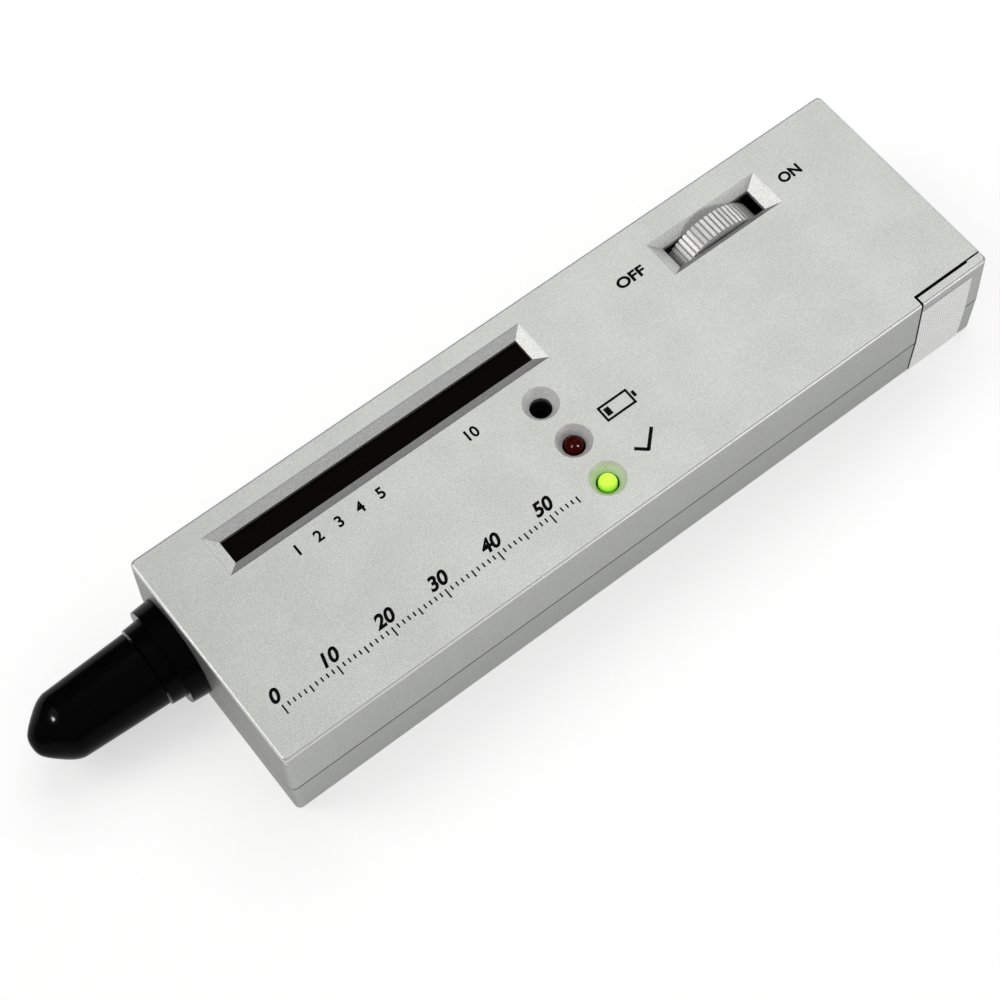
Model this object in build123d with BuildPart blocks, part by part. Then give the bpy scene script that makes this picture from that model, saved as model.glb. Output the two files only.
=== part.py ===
from build123d import *
import math
import os

os.makedirs("parts", exist_ok=True)

# A hand-held moissanite tester, in millimetres. The origin is the centre of the bottom face.
# +X runs from the probe to the battery door, +Y to the window side and +Z out of the display face.

# Case, the driving sizes
case_length = 138.0
case_width = 41.0
case_height = 21.0
seam_drop = 1.0
draft_angle = 1.5
plate = 1.7
side_wall = 1.8
corner_round = 1.2
cavity_round = 0.8
top_edge_round = 0.5
bottom_edge_round = 0.8
overcut = 1.0
seat_gap = 0.1
slip_gap = 0.05
thread_gap = 0.03

# Case, worked out
seam_height = case_height / 2 - seam_drop
draft_rise = math.tan(math.radians(draft_angle))
seam_grow = (case_height - seam_height) * draft_rise
foot_shrink = seam_height * draft_rise
seam_length = case_length + 2 * seam_grow
seam_width = case_width + 2 * seam_grow
foot_length = seam_length - 2 * foot_shrink
foot_width = seam_width - 2 * foot_shrink
nose_x = -case_length / 2
tail_x = case_length / 2
right_y = -case_width / 2
left_y = case_width / 2
nose_face_x = nose_x - seam_grow
cavity_length = case_length - 2 * side_wall
cavity_width = case_width - 2 * side_wall
cavity_nose_x = nose_x + side_wall
cavity_tail_x = tail_x - side_wall
cavity_right_y = right_y + side_wall
cavity_left_y = left_y - side_wall
floor_z = plate
ceiling_z = case_height - plate
reach = seam_grow + overcut

# Line across the case where the board's room ends and the battery's begins, from the middle
divider_x = 11.8

# Lip that keys the two shells together, and the fine groove along the seam
lip_width = 0.8
lip_height = 1.2
seam_groove = 0.15

# Probe, measured outward from the nose wall
probe_inset = 11.0
probe_y = left_y - probe_inset
probe_z = seam_height
bush_flange_length = 3.15
bush_flange_radius = 8.68
bush_flange_end_radius = 8.41
bush_step_length = 2.65
bush_step_radius = 7.05
bush_step_end_radius = 6.84
bush_spigot_length = 5.2
bush_spigot_radius = 5.0
bush_floor_gap = 1.2
bush_grip = 1.6
bush_inner_flange_radius = probe_z - floor_z - bush_floor_gap
bush_neck_radius = bush_inner_flange_radius - bush_grip
bush_inner_flange_length = 1.3
tube_radius = 1.25
tube_bore_radius = 0.9
tube_stickout = 2.7
tube_tail = 7.3
needle_radius = 0.5
needle_body_radius = 0.85
needle_stickout = 4.0
needle_travel = 1.5
spring_length = 8.0
spring_wire_radius = 0.12
spring_turns = 10

# Window and the three round recesses
window_nose_inset = 10.95
window_tail_inset = 8.75
window_left_inset = 7.55
window_end_slope = 2.0
window_outer_width = 7.95
window_inner_width = 4.4
window_slope_depth = 1.0
window_nose_x = nose_x + window_nose_inset
window_tail_x = divider_x - window_tail_inset
window_mid_x = (window_nose_x + window_tail_x) / 2
window_mid_y = left_y - window_left_inset
window_outer_length = window_tail_x - window_nose_x
window_inner_length = window_outer_length - 2 * window_end_slope
eye_tail_inset = 6.21
sound_drop_share = 0.368
ready_inset = 7.02
eye_x = window_tail_x - eye_tail_inset
ready_y = right_y + ready_inset
sound_y = window_mid_y - sound_drop_share * (window_mid_y - ready_y)
eye_mid_y = (sound_y + ready_y) / 2
eye_pitch = (sound_y - ready_y) / 2
eye_outer_radius = 3.02
eye_hole_radius = 1.85
eye_depth = 1.6
eye_boss_radius = 3.6
eye_boss_drop = 2.1

# Thumbwheel and its slot
wheel_tail_inset = 29.7
wheel_left_inset = 8.58
wheel_width = 3.9
wheel_top_rise = 0.1
wheel_floor_gap = 0.4
wheel_x = tail_x - wheel_tail_inset
wheel_y = left_y - wheel_left_inset
wheel_radius = (case_height + wheel_top_rise - floor_z - wheel_floor_gap) / 2
wheel_teeth = 64
slot_outer_length = 22.4
slot_outer_width = 7.25
slot_inner_length = 17.9
slot_inner_width = 4.5
slot_slope_depth = 1.6
slot_lip_depth = 0.8
slot_frame_wall = 1.2
wheel_z = case_height + wheel_top_rise - wheel_radius
wheel_right_y = wheel_y - wheel_width / 2
wheel_left_y = wheel_y + wheel_width / 2

# Battery door
door_length = 14.0
door_notch_width = 2.05
door_lip_width = 1.5
door_gap = 0.22
door_step_length = 3.0
door_step_width = 0.25
door_tongue_length = 3.5
door_tongue_thickness = 0.6
door_tongue_root = 2.2
door_tongue_inset = 1.3
door_front_x = tail_x - door_length
door_notch_y = right_y + door_notch_width
door_lip_y = right_y + door_lip_width

# Partition between the battery and the thumbwheel
partition_thickness = 1.0
wheel_partition_gap = 0.37
partition_top_z = case_height - slot_slope_depth - slot_lip_depth - seat_gap
partition_left_y = wheel_right_y - wheel_partition_gap
partition_right_y = partition_left_y - partition_thickness
door_left_y = partition_right_y - seat_gap

# Battery, lying beside the thumbwheel, and the snap and stop in front of it
battery_headroom = 0.6
battery_edge_round = 1.6
battery_clearance = 0.3
stud_height = 2.1
stud_side_gap = 0.3
pad_thickness = 1.9
snap_thickness = 3.4
snap_end_inset = 0.3
snap_side_inset = 1.8
stop_thickness = 1.2
stop_gap = 0.1
stop_nose_x = divider_x
stop_tail_x = stop_nose_x + stop_thickness
snap_back_x = stop_tail_x + stop_gap
snap_face_x = snap_back_x + snap_thickness
battery_front_x = snap_face_x + stud_height
battery_tail_x = cavity_tail_x - pad_thickness - battery_clearance
battery_right_y = cavity_right_y + seat_gap + door_tongue_thickness + battery_clearance
battery_left_y = partition_right_y - battery_clearance
battery_width = battery_left_y - battery_right_y
battery_thickness = ceiling_z - floor_z - battery_headroom
battery_mid_y = (battery_right_y + battery_left_y) / 2
battery_mid_z = floor_z + battery_thickness / 2
stud_pitch = battery_width / 2 - stud_side_gap
snap_length = battery_width - 2 * snap_end_inset
snap_width = battery_thickness - 2 * snap_side_inset

# Thumbwheel control, a flat potentiometer with its switch
control_half_length = 8.0
control_thickness = 3.8
control_gap = 0.35
control_round = 1.5
control_lift = 1.9
control_headroom = 0.9
control_rib = 1.2
control_right_y = wheel_left_y + control_gap
control_left_y = control_right_y + control_thickness
control_bottom_z = floor_z + control_lift
control_top_z = ceiling_z - control_headroom
control_height = control_top_z - control_bottom_z
shaft_radius = 1.5
shaft_flat_offset = 0.95
lug_count = 5
lug_length = 2.0
lug_thickness = 0.5
lug_width = 0.6
lug_first_rise = 0.9
control_wire_radius = 0.4
lug_y = control_left_y - 2 * lug_thickness
lug_nose_x = wheel_x - control_half_length - lug_length

# Case screws and their posts, going round from the nose
post_radius = 2.4
screw_shank_radius = 1.3
screw_head_radius = 2.2
screw_head_height = 1.7
screw_length = 13.0
screw_sink = 2.4
screw_bore_radius = screw_shank_radius + seat_gap
nose_post_inset_x = 5.2
nose_post_inset_y = 3.7
tail_post_inset = 5.7
mid_post_gap = 0.3
mid_post_x = stop_nose_x - mid_post_gap - post_radius / 2
board_tail_x = mid_post_x - post_radius - mid_post_gap
strip_post_x = (board_tail_x + lug_nose_x) / 2
strip_post_y = partition_left_y + post_radius + seat_gap
post_places = [
    (cavity_nose_x + nose_post_inset_x, cavity_right_y + nose_post_inset_y),
    (mid_post_x, cavity_right_y + post_radius + mid_post_gap),
    (strip_post_x, strip_post_y),
    (cavity_tail_x - tail_post_inset, strip_post_y),
]

# Circuit board, hung under the display face
board_thickness = 1.6
board_drop = 7.3
board_side_gap = 0.9
board_nose_gap = 9.2
board_top_z = ceiling_z - board_drop
board_bottom_z = board_top_z - board_thickness
board_nose_x = cavity_nose_x + board_nose_gap
board_left_y = cavity_left_y - board_side_gap
board_right_y = cavity_right_y + board_side_gap
board_screw_inset = 2.5
board_boss_radius = 2.4
board_screw_radius = 1.0
board_screw_head_radius = 1.8
board_screw_head_height = 1.3
board_screw_grip = 4.4
board_nose_screw_x = board_nose_x + board_screw_inset + board_boss_radius
board_tail_screw_x = board_tail_x - board_screw_inset
board_screw_places = [
    (board_nose_screw_x, board_right_y + board_screw_inset),
    (board_nose_screw_x, window_mid_y - window_outer_width),
    (board_tail_screw_x, board_right_y + board_screw_inset),
    (board_tail_screw_x, window_mid_y + board_screw_radius / 2),
]

# Level of the battery leads, which pass over the stop
lead_radius = 0.65
lead_drop = 2.4
lead_z = board_bottom_z - lead_drop

# Touch plate under the case
touch_plate_length = 26.0
touch_plate_width = 14.0
touch_plate_thickness = 0.5
touch_plate_x = window_mid_x - touch_plate_width / 2
touch_tab_width = 3.0
touch_tab_rise = 1.3


def block(low, high, mode=Mode.ADD):
    """Adds or removes a box between two opposite corners in the piece being built."""
    size = [far - near for near, far in zip(low, high)]
    with Locations(low):
        Box(*size, align=(Align.MIN, Align.MIN, Align.MIN), mode=mode)


def rod(places, low_z, high_z, radius, mode=Mode.ADD):
    """Adds or removes an upright rod at each place in the piece being built."""
    with BuildSketch(Plane.XY.offset(low_z)) as section:
        with Locations(*places):
            Circle(radius)
    extrude(section.sketch, amount=high_z - low_z, mode=mode)


def sloped_recess(middle, outer, inner, depth):
    """Sinks a recess with sloping sides into the display face, and opens its floor."""
    with BuildSketch(Plane.XY.offset(case_height)) as mouth:
        with Locations(middle):
            Rectangle(*outer)
    with BuildSketch(Plane.XY.offset(case_height - depth)) as floor:
        with Locations(middle):
            Rectangle(*inner)
    loft([mouth.sketch, floor.sketch], mode=Mode.SUBTRACT)
    extrude(floor.sketch, amount=seam_height - case_height + depth, mode=Mode.SUBTRACT)


probe_plane = Plane(origin=(nose_face_x, probe_y, probe_z), x_dir=(-1, 0, 0), z_dir=(0, 1, 0))
probe_axis = Axis((nose_face_x, probe_y, probe_z), (-1, 0, 0))


def row_places(tail_end_x, nose_end_x, widths, y):
    """Spaces pieces of the given widths evenly along a row that runs towards the nose."""
    gap = (tail_end_x - nose_end_x - sum(widths)) / (len(widths) + 1)
    places = []
    edge_x = tail_end_x
    for width in widths:
        places.append((edge_x - gap - width / 2, y))
        edge_x -= gap + width
    return places


def turn(points, mode=Mode.ADD):
    """Turns an outline of (distance out from the nose, radius) about the probe's axis."""
    with BuildSketch(probe_plane) as outline:
        with BuildLine():
            Polyline(*points, close=True)
        make_face()
    revolve(outline.sketch, axis=probe_axis, mode=mode)


def door_openings():
    """Cuts the notches and the tail opening that the battery door fills."""
    far_x = tail_x + reach
    far_y = right_y - reach
    block((door_front_x, far_y, -overcut), (far_x, door_notch_y, case_height + overcut), Mode.SUBTRACT)
    near_x = cavity_tail_x - overcut
    block((near_x, door_notch_y - overcut, floor_z), (far_x, door_left_y, ceiling_z), Mode.SUBTRACT)


def bush_bore():
    """Cuts the round hole in the nose wall that the probe bush sits in."""
    inner = -side_wall - seam_grow - overcut
    radius = bush_neck_radius + seat_gap
    turn([(inner, 0), (overcut, 0), (overcut, radius), (inner, radius)], Mode.SUBTRACT)


# Outer form of the whole case, widest at the seam
with BuildPart() as case_form:
    with BuildSketch(Plane.XY.offset(seam_height)):
        RectangleRounded(seam_length, seam_width, corner_round)
    extrude(amount=case_height - seam_height, taper=draft_angle)
    with BuildSketch(Plane.XY):
        RectangleRounded(foot_length, foot_width, corner_round - foot_shrink)
    extrude(amount=seam_height, taper=-draft_angle)
    fillet(case_form.edges().group_by(Axis.Z)[-1], top_edge_round)
    fillet(case_form.edges().group_by(Axis.Z)[0], bottom_edge_round)

# Top shell
eye_places = [(eye_x, eye_mid_y + step * eye_pitch) for step in (-1, 0, 1)]
eye_angle = 2 * math.degrees(math.atan2(eye_outer_radius - eye_hole_radius, eye_depth))
screw_tip_z = screw_sink + screw_length
board_screw_tip_z = board_top_z + board_screw_grip
slot_frame_z = case_height - slot_slope_depth - slot_lip_depth
hold_down_z = control_top_z + seat_gap
frame_half_length = slot_inner_length / 2 + slot_frame_wall
frame_half_width = slot_inner_width / 2 + slot_frame_wall / 2
with BuildPart() as top_shell:
    add(case_form.part)
    split(bisect_by=Plane.XY.offset(seam_height), keep=Keep.TOP)
    chamfer(top_shell.faces().sort_by(Axis.Z)[0].edges(), seam_groove)
    with BuildSketch(Plane.XY.offset(seam_height)):
        RectangleRounded(cavity_length, cavity_width, cavity_round)
    extrude(amount=ceiling_z - seam_height, mode=Mode.SUBTRACT)
    rebate = lip_width + seat_gap
    with BuildSketch(Plane.XY.offset(seam_height)):
        RectangleRounded(cavity_length + 2 * rebate, cavity_width + 2 * rebate, cavity_round + rebate)
    extrude(amount=lip_height + seat_gap, mode=Mode.SUBTRACT)
    rod(post_places, seam_height, ceiling_z + overcut / 2, post_radius)
    rod(board_screw_places, board_top_z, ceiling_z + overcut / 2, board_boss_radius)
    rod(eye_places, ceiling_z - eye_boss_drop, ceiling_z + overcut / 2, eye_boss_radius)
    block(
        (wheel_x - frame_half_length, wheel_y - frame_half_width, slot_frame_z),
        (wheel_x + frame_half_length, wheel_y + frame_half_width, ceiling_z + overcut / 2),
    )
    for side in (-1, 1):
        rib_x = wheel_x + side * control_half_length / 2
        block(
            (rib_x - control_rib / 2, control_right_y, hold_down_z),
            (rib_x + control_rib / 2, control_left_y, ceiling_z + overcut / 2),
        )
    sloped_recess(
        (window_mid_x, window_mid_y),
        (window_outer_length, window_outer_width),
        (window_inner_length, window_inner_width),
        window_slope_depth,
    )
    sloped_recess(
        (wheel_x, wheel_y),
        (slot_outer_length, slot_outer_width),
        (slot_inner_length, slot_inner_width),
        slot_slope_depth,
    )
    with Locations(*[(x, y, case_height) for x, y in eye_places]):
        CounterSinkHole(eye_hole_radius, eye_outer_radius, case_height - board_top_z, eye_angle)
    rod(post_places, seam_height, screw_tip_z + seat_gap, screw_shank_radius + thread_gap, Mode.SUBTRACT)
    rod(board_screw_places, board_top_z, board_screw_tip_z + seat_gap,
        board_screw_radius + thread_gap, Mode.SUBTRACT)
    door_openings()
    bush_bore()
top_shell.part.label = "top_shell"
export_step(top_shell.part, "parts/top_shell.step")

# Bottom shell
lip_length = cavity_length + 2 * lip_width
lip_breadth = cavity_width + 2 * lip_width
cradle_stop_height = 4.0
stop_rise_share = 0.5
stop_top_z = floor_z + stop_rise_share * (lead_z - lead_radius - floor_z)
cradle_stop_z = floor_z + cradle_stop_height
cradle_wall_y = cavity_left_y + lip_width / 2
wheel_side_reach = control_half_length + seat_gap
touch_floor_z = touch_plate_thickness + seat_gap
tab_hole_x = touch_tab_width / 2 + seat_gap
tab_hole_y = touch_plate_thickness / 2 + seat_gap
with BuildPart() as bottom_shell:
    add(case_form.part)
    split(bisect_by=Plane.XY.offset(seam_height), keep=Keep.BOTTOM)
    chamfer(bottom_shell.faces().sort_by(Axis.Z)[-1].edges(), seam_groove)
    with BuildSketch(Plane.XY.offset(seam_height)):
        RectangleRounded(lip_length, lip_breadth, cavity_round + lip_width)
    extrude(amount=lip_height)
    with BuildSketch(Plane.XY.offset(floor_z)):
        RectangleRounded(cavity_length, cavity_width, cavity_round)
    extrude(amount=case_height, mode=Mode.SUBTRACT)
    rod(post_places, floor_z - plate / 2, seam_height, post_radius)
    block(
        (stop_nose_x, partition_right_y, floor_z - plate / 2),
        (cavity_tail_x - seat_gap, partition_left_y, partition_top_z),
    )
    block(
        (stop_nose_x, partition_right_y, floor_z - plate / 2),
        (cavity_tail_x + side_wall / 2, partition_left_y, seam_height),
    )
    block(
        (stop_nose_x, battery_mid_y - snap_width / 2, floor_z - plate / 2),
        (stop_tail_x, partition_left_y, stop_top_z),
    )
    for side in (-1, 1):
        rib_x = wheel_x + side * control_half_length / 2
        block(
            (rib_x - control_rib / 2, control_right_y, floor_z - plate / 2),
            (rib_x + control_rib / 2, cradle_wall_y, control_bottom_z),
        )
    block(
        (wheel_x + wheel_side_reach, control_right_y, floor_z - plate / 2),
        (wheel_x + wheel_side_reach + control_rib, cradle_wall_y, cradle_stop_z),
    )
    block(
        (wheel_x - wheel_side_reach - control_rib, control_right_y, floor_z - plate / 2),
        (wheel_x - wheel_side_reach, lug_y - 2 * lug_width, cradle_stop_z),
    )
    rod(post_places, -overcut, screw_sink, screw_head_radius + seat_gap, Mode.SUBTRACT)
    rod(post_places, -overcut, seam_height, screw_bore_radius, Mode.SUBTRACT)
    block(
        (touch_plate_x - touch_plate_length / 2 - seat_gap, -touch_plate_width / 2 - seat_gap, -overcut),
        (touch_plate_x + touch_plate_length / 2 + seat_gap, touch_plate_width / 2 + seat_gap, touch_floor_z),
        Mode.SUBTRACT,
    )
    block(
        (touch_plate_x - tab_hole_x, -tab_hole_y, -overcut),
        (touch_plate_x + tab_hole_x, tab_hole_y, floor_z + overcut),
        Mode.SUBTRACT,
    )
    door_openings()
    bush_bore()
bottom_shell.part.label = "bottom_shell"
export_step(bottom_shell.part, "parts/bottom_shell.step")

# Tail wall of the battery door, cut from the same outer form
with BuildPart() as door_tail_wall:
    add(case_form.part)
    block(
        (cavity_tail_x, right_y - reach, floor_z + door_gap),
        (tail_x + reach, door_left_y - door_gap, ceiling_z - door_gap),
        Mode.INTERSECT,
    )

# Wider end of the battery door's lip, cut from the same outer form
with BuildPart() as door_lip_end:
    add(case_form.part)
    block(
        (tail_x - door_step_length, door_lip_y - overcut, ceiling_z),
        (tail_x + reach, door_lip_y + door_step_width, case_height + overcut),
        Mode.INTERSECT,
    )

# Battery door
door_edge_x = door_front_x + door_gap
tongue_left_y = cavity_right_y + seat_gap + door_tongue_thickness
tongue_low_z = floor_z + door_tongue_inset
tongue_high_z = ceiling_z - door_tongue_inset
with BuildPart() as battery_door:
    add(case_form.part)
    block(
        (door_edge_x, right_y - reach, -overcut),
        (tail_x + reach, door_lip_y, case_height + overcut),
        Mode.INTERSECT,
    )
    block(
        (door_edge_x, door_lip_y - door_lip_width / 2, tongue_low_z),
        (door_edge_x + door_tongue_root, tongue_left_y, tongue_high_z),
    )
    block(
        (door_edge_x - door_tongue_length, tongue_left_y - door_tongue_thickness, tongue_low_z),
        (door_edge_x + door_tongue_root, tongue_left_y, tongue_high_z),
    )
    add(door_tail_wall.part)
    add(door_lip_end.part)
battery_door.part.label = "battery_door"
export_step(battery_door.part, "parts/battery_door.step")

# Foam pad stuck inside the door
with BuildPart() as battery_pad:
    pad_inset = 2.0
    block(
        (cavity_tail_x - pad_thickness, battery_right_y + pad_inset, floor_z + pad_inset),
        (cavity_tail_x, battery_left_y - pad_inset, floor_z + battery_thickness - pad_inset),
    )
battery_pad.part.label = "battery_pad"
export_step(battery_pad.part, "parts/battery_pad.step")

# Smoked window, stuck under the display face
window_thickness = 1.3
window_margin = 1.2
window_bottom_z = ceiling_z - window_thickness
with BuildPart() as display_window:
    block(
        (window_mid_x - window_inner_length / 2 - window_margin,
         window_mid_y - window_inner_width / 2 - window_margin, window_bottom_z),
        (window_mid_x + window_inner_length / 2 + window_margin,
         window_mid_y + window_inner_width / 2 + window_margin, ceiling_z),
    )
display_window.part.label = "display_window"
export_step(display_window.part, "parts/display_window.step")

# Bar of lights under the window, and the black holder that keeps their light apart
bar_count = 20
bar_wall = 0.55
bar_well_inset = 0.3
bar_holder_margin = 0.7
bar_light_height = 3.2
bar_light_gap = 0.15
bar_pitch = window_inner_length / bar_count
bar_well_length = bar_pitch - bar_wall
bar_well_width = window_inner_width - 2 * bar_well_inset
bar_x = [window_mid_x + (index - (bar_count - 1) / 2) * bar_pitch for index in range(bar_count)]
bar_places = [(x, window_mid_y) for x in bar_x]
holder_top_z = window_bottom_z - seat_gap
with BuildPart() as bar_light_holder:
    block(
        (bar_x[0] - bar_well_length / 2 - bar_holder_margin,
         window_mid_y - bar_well_width / 2 - bar_holder_margin, board_top_z),
        (bar_x[-1] + bar_well_length / 2 + bar_holder_margin,
         window_mid_y + bar_well_width / 2 + bar_holder_margin, holder_top_z),
    )
    with BuildSketch(Plane.XY.offset(board_top_z)):
        with Locations(*bar_places):
            Rectangle(bar_well_length, bar_well_width)
    extrude(amount=holder_top_z - board_top_z, mode=Mode.SUBTRACT)
bar_light_holder.part.label = "bar_light_holder"
export_step(bar_light_holder.part, "parts/bar_light_holder.step")

with BuildPart() as bar_lights:
    with BuildSketch(Plane.XY.offset(board_top_z)):
        with Locations(*bar_places):
            Rectangle(bar_well_length - 2 * bar_light_gap, bar_well_width - 2 * bar_light_gap)
    extrude(amount=bar_light_height)
bar_lights.part.label = "bar_lights"
export_step(bar_lights.part, "parts/bar_lights.step")

# Ready and low-battery lights, and their legs
light_radius = 1.56
light_sink = 0.05
light_flange_radius = 1.85
light_flange_height = 0.8
light_height = 5.3
light_top_z = case_height - light_sink
light_base_z = light_top_z - light_height
leg_pitch = 2.54
leg_width = 0.5
leg_below_board = 1.0
ready_place, low_place, sound_place = eye_places


def small_light(place):
    """Makes a round light with its flange and domed top."""
    rod([place], light_base_z, light_base_z + light_flange_height, light_flange_radius)
    rod([place], light_base_z, light_top_z - light_radius, light_radius)
    with Locations((*place, light_top_z - light_radius)):
        Sphere(light_radius)


with BuildPart() as ready_light:
    small_light(ready_place)
ready_light.part.label = "ready_light"
export_step(ready_light.part, "parts/ready_light.step")

with BuildPart() as low_battery_light:
    small_light(low_place)
low_battery_light.part.label = "low_battery_light"
export_step(low_battery_light.part, "parts/low_battery_light.step")

leg_places = [(x, y + side * leg_pitch / 2) for x, y in (ready_place, low_place) for side in (-1, 1)]
with BuildPart() as light_legs:
    with BuildSketch(Plane.XY.offset(board_bottom_z - leg_below_board)):
        with Locations(*leg_places):
            Rectangle(leg_width, leg_width)
    extrude(amount=light_base_z - board_bottom_z + leg_below_board)
light_legs.part.label = "light_legs"
export_step(light_legs.part, "parts/light_legs.step")

# Circuit board
with BuildPart() as circuit_board:
    block((board_nose_x, board_right_y, board_bottom_z), (board_tail_x, board_left_y, board_top_z))
    rod(board_screw_places, board_bottom_z, board_top_z, board_screw_radius + seat_gap, Mode.SUBTRACT)
    rod(leg_places, board_bottom_z, board_top_z, leg_width / 2 + 2 * seat_gap, Mode.SUBTRACT)
circuit_board.part.label = "circuit_board"
export_step(circuit_board.part, "parts/circuit_board.step")

# Screws that hold the board to its bosses
with BuildPart() as board_screws:
    rod(board_screw_places, board_bottom_z - board_screw_head_height, board_bottom_z, board_screw_head_radius)
    rod(board_screw_places, board_bottom_z, board_screw_tip_z, board_screw_radius)
    drive_depth = board_screw_head_height / 2
    drive_width = board_screw_radius / 2
    with BuildSketch(Plane.XY.offset(board_bottom_z - board_screw_head_height)):
        with Locations(*board_screw_places):
            Rectangle(2 * board_screw_radius, drive_width)
            Rectangle(drive_width, 2 * board_screw_radius)
    extrude(amount=drive_depth, mode=Mode.SUBTRACT)
board_screws.part.label = "board_screws"
export_step(board_screws.part, "parts/board_screws.step")

# Screws that hold the two shells together
with BuildPart() as case_screws:
    rod(post_places, screw_sink - screw_head_height, screw_sink, screw_head_radius)
    rod(post_places, screw_sink, screw_tip_z, screw_shank_radius)
    cross_length = 2 * screw_shank_radius
    cross_width = screw_shank_radius / 2
    with BuildSketch(Plane.XY.offset(screw_sink - screw_head_height)):
        with Locations(*post_places):
            Rectangle(cross_length, cross_width)
            Rectangle(cross_width, cross_length)
    extrude(amount=screw_head_height / 2, mode=Mode.SUBTRACT)
case_screws.part.label = "case_screws"
export_step(case_screws.part, "parts/case_screws.step")

# Buzzer under the sound hole
buzzer_gap = 0.5
buzzer_radius = eye_pitch - light_flange_radius - buzzer_gap
buzzer_height = 4.8
buzzer_port_radius = 1.2
buzzer_port_depth = 1.5
with BuildPart() as buzzer:
    rod([sound_place], board_top_z, board_top_z + buzzer_height, buzzer_radius)
    rod([sound_place], board_top_z + buzzer_height - buzzer_port_depth,
        board_top_z + buzzer_height, buzzer_port_radius, Mode.SUBTRACT)
buzzer.part.label = "buzzer"
export_step(buzzer.part, "parts/buzzer.step")

# Chips in rows of pins, the controller and the amplifier
chip_row_gap = 1.95
chip_width = eye_pitch - chip_row_gap
chip_height = 3.3
chip_lift = 0.5
chip_pin_pitch = 2.54
chip_pin_width = 0.6
chip_pin_thickness = 0.3
chip_pin_rise = 2.0
controller_pin_count = 9
amplifier_pin_count = 4
row_tail_x = eye_x - buzzer_radius
chip_lengths = [controller_pin_count * chip_pin_pitch, amplifier_pin_count * chip_pin_pitch]
controller_place, amplifier_place = row_places(row_tail_x, board_nose_x, chip_lengths, eye_mid_y)
chip_base_z = board_top_z + chip_lift


def chip(place, pins):
    """Makes a chip's body long enough for its row of pins."""
    half_length = pins * chip_pin_pitch / 2
    x, y = place
    block(
        (x - half_length, y - chip_width / 2, chip_base_z),
        (x + half_length, y + chip_width / 2, chip_base_z + chip_height),
    )


with BuildPart() as controller_chip:
    chip(controller_place, controller_pin_count)
controller_chip.part.label = "controller_chip"
export_step(controller_chip.part, "parts/controller_chip.step")

with BuildPart() as amplifier_chip:
    chip(amplifier_place, amplifier_pin_count)
amplifier_chip.part.label = "amplifier_chip"
export_step(amplifier_chip.part, "parts/amplifier_chip.step")

with BuildPart() as chip_pins:
    rows = ((controller_place, controller_pin_count), (amplifier_place, amplifier_pin_count))
    for (chip_x, chip_y), pins in rows:
        pin_y = chip_width / 2 + chip_pin_thickness / 2
        with BuildSketch(Plane.XY.offset(board_top_z)):
            with Locations((chip_x, chip_y + pin_y), (chip_x, chip_y - pin_y)):
                with GridLocations(chip_pin_pitch, chip_pin_pitch, pins, 1):
                    Rectangle(chip_pin_width, chip_pin_thickness)
        extrude(amount=chip_pin_rise)
chip_pins.part.label = "chip_pins"
export_step(chip_pins.part, "parts/chip_pins.step")

# Row along the edge of the board: capacitors, transistors and the coil
capacitor_count = 3
capacitor_radius = 2.5
capacitor_height = 5.4
transistor_count = 2
transistor_radius = 2.3
coil_gap = 0.35
coil_radius = (eye_pitch - coil_gap) / 2
row_nose_x = board_nose_screw_x + board_boss_radius
edge_row_y = board_right_y + board_screw_inset + capacitor_radius / 2
edge_widths = [2 * capacitor_radius] * capacitor_count + [2 * transistor_radius] * transistor_count
edge_places = row_places(eye_x - light_flange_radius, row_nose_x, [*edge_widths, 2 * coil_radius], edge_row_y)
capacitor_places = edge_places[:capacitor_count]
transistor_places = edge_places[capacitor_count:-1]
coil_place = edge_places[-1]
with BuildPart() as capacitors:
    rod(capacitor_places, board_top_z, board_top_z + capacitor_height, capacitor_radius)
    fillet(capacitors.edges().group_by(Axis.Z)[-1], capacitor_radius / 8)
capacitors.part.label = "capacitors"
export_step(capacitors.part, "parts/capacitors.step")

# Transistors and the voltage regulator, round backs with a flat front
transistor_height = 4.6
transistor_lift = 1.5
transistor_flat = 1.3
transistor_pin_radius = 0.25
transistor_pin_pitch = 1.27


def transistor(places):
    """Makes a small transistor on its three legs at each place."""
    base_z = board_top_z + transistor_lift
    with BuildSketch(Plane.XY.offset(base_z)) as section:
        with Locations(*places):
            Circle(transistor_radius)
        with Locations(*[(x, y - transistor_flat - transistor_radius / 2) for x, y in places]):
            Rectangle(2 * transistor_radius, transistor_radius, mode=Mode.SUBTRACT)
    extrude(section.sketch, amount=transistor_height)
    legs = [(x + side * transistor_pin_pitch, y) for x, y in places for side in (-1, 0, 1)]
    rod(legs, board_top_z, base_z, transistor_pin_radius)


with BuildPart() as transistors:
    transistor(transistor_places)
transistors.part.label = "transistors"
export_step(transistors.part, "parts/transistors.step")

with BuildPart() as voltage_regulator:
    transistor([(board_tail_screw_x, eye_mid_y)])
voltage_regulator.part.label = "voltage_regulator"
export_step(voltage_regulator.part, "parts/voltage_regulator.step")

# Coil that raises the test voltage: a ferrite bobbin and its winding
coil_core_share = 0.4
coil_core_radius = coil_core_share * coil_radius
coil_height = 6.0
coil_flange = 0.9
coil_inset = 0.4
coil_top_z = board_top_z + coil_height
with BuildPart() as coil_core:
    rod([coil_place], board_top_z, board_top_z + coil_flange, coil_radius)
    rod([coil_place], board_top_z, coil_top_z, coil_core_radius)
    rod([coil_place], coil_top_z - coil_flange, coil_top_z, coil_radius)
coil_core.part.label = "coil_core"
export_step(coil_core.part, "parts/coil_core.step")

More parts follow.
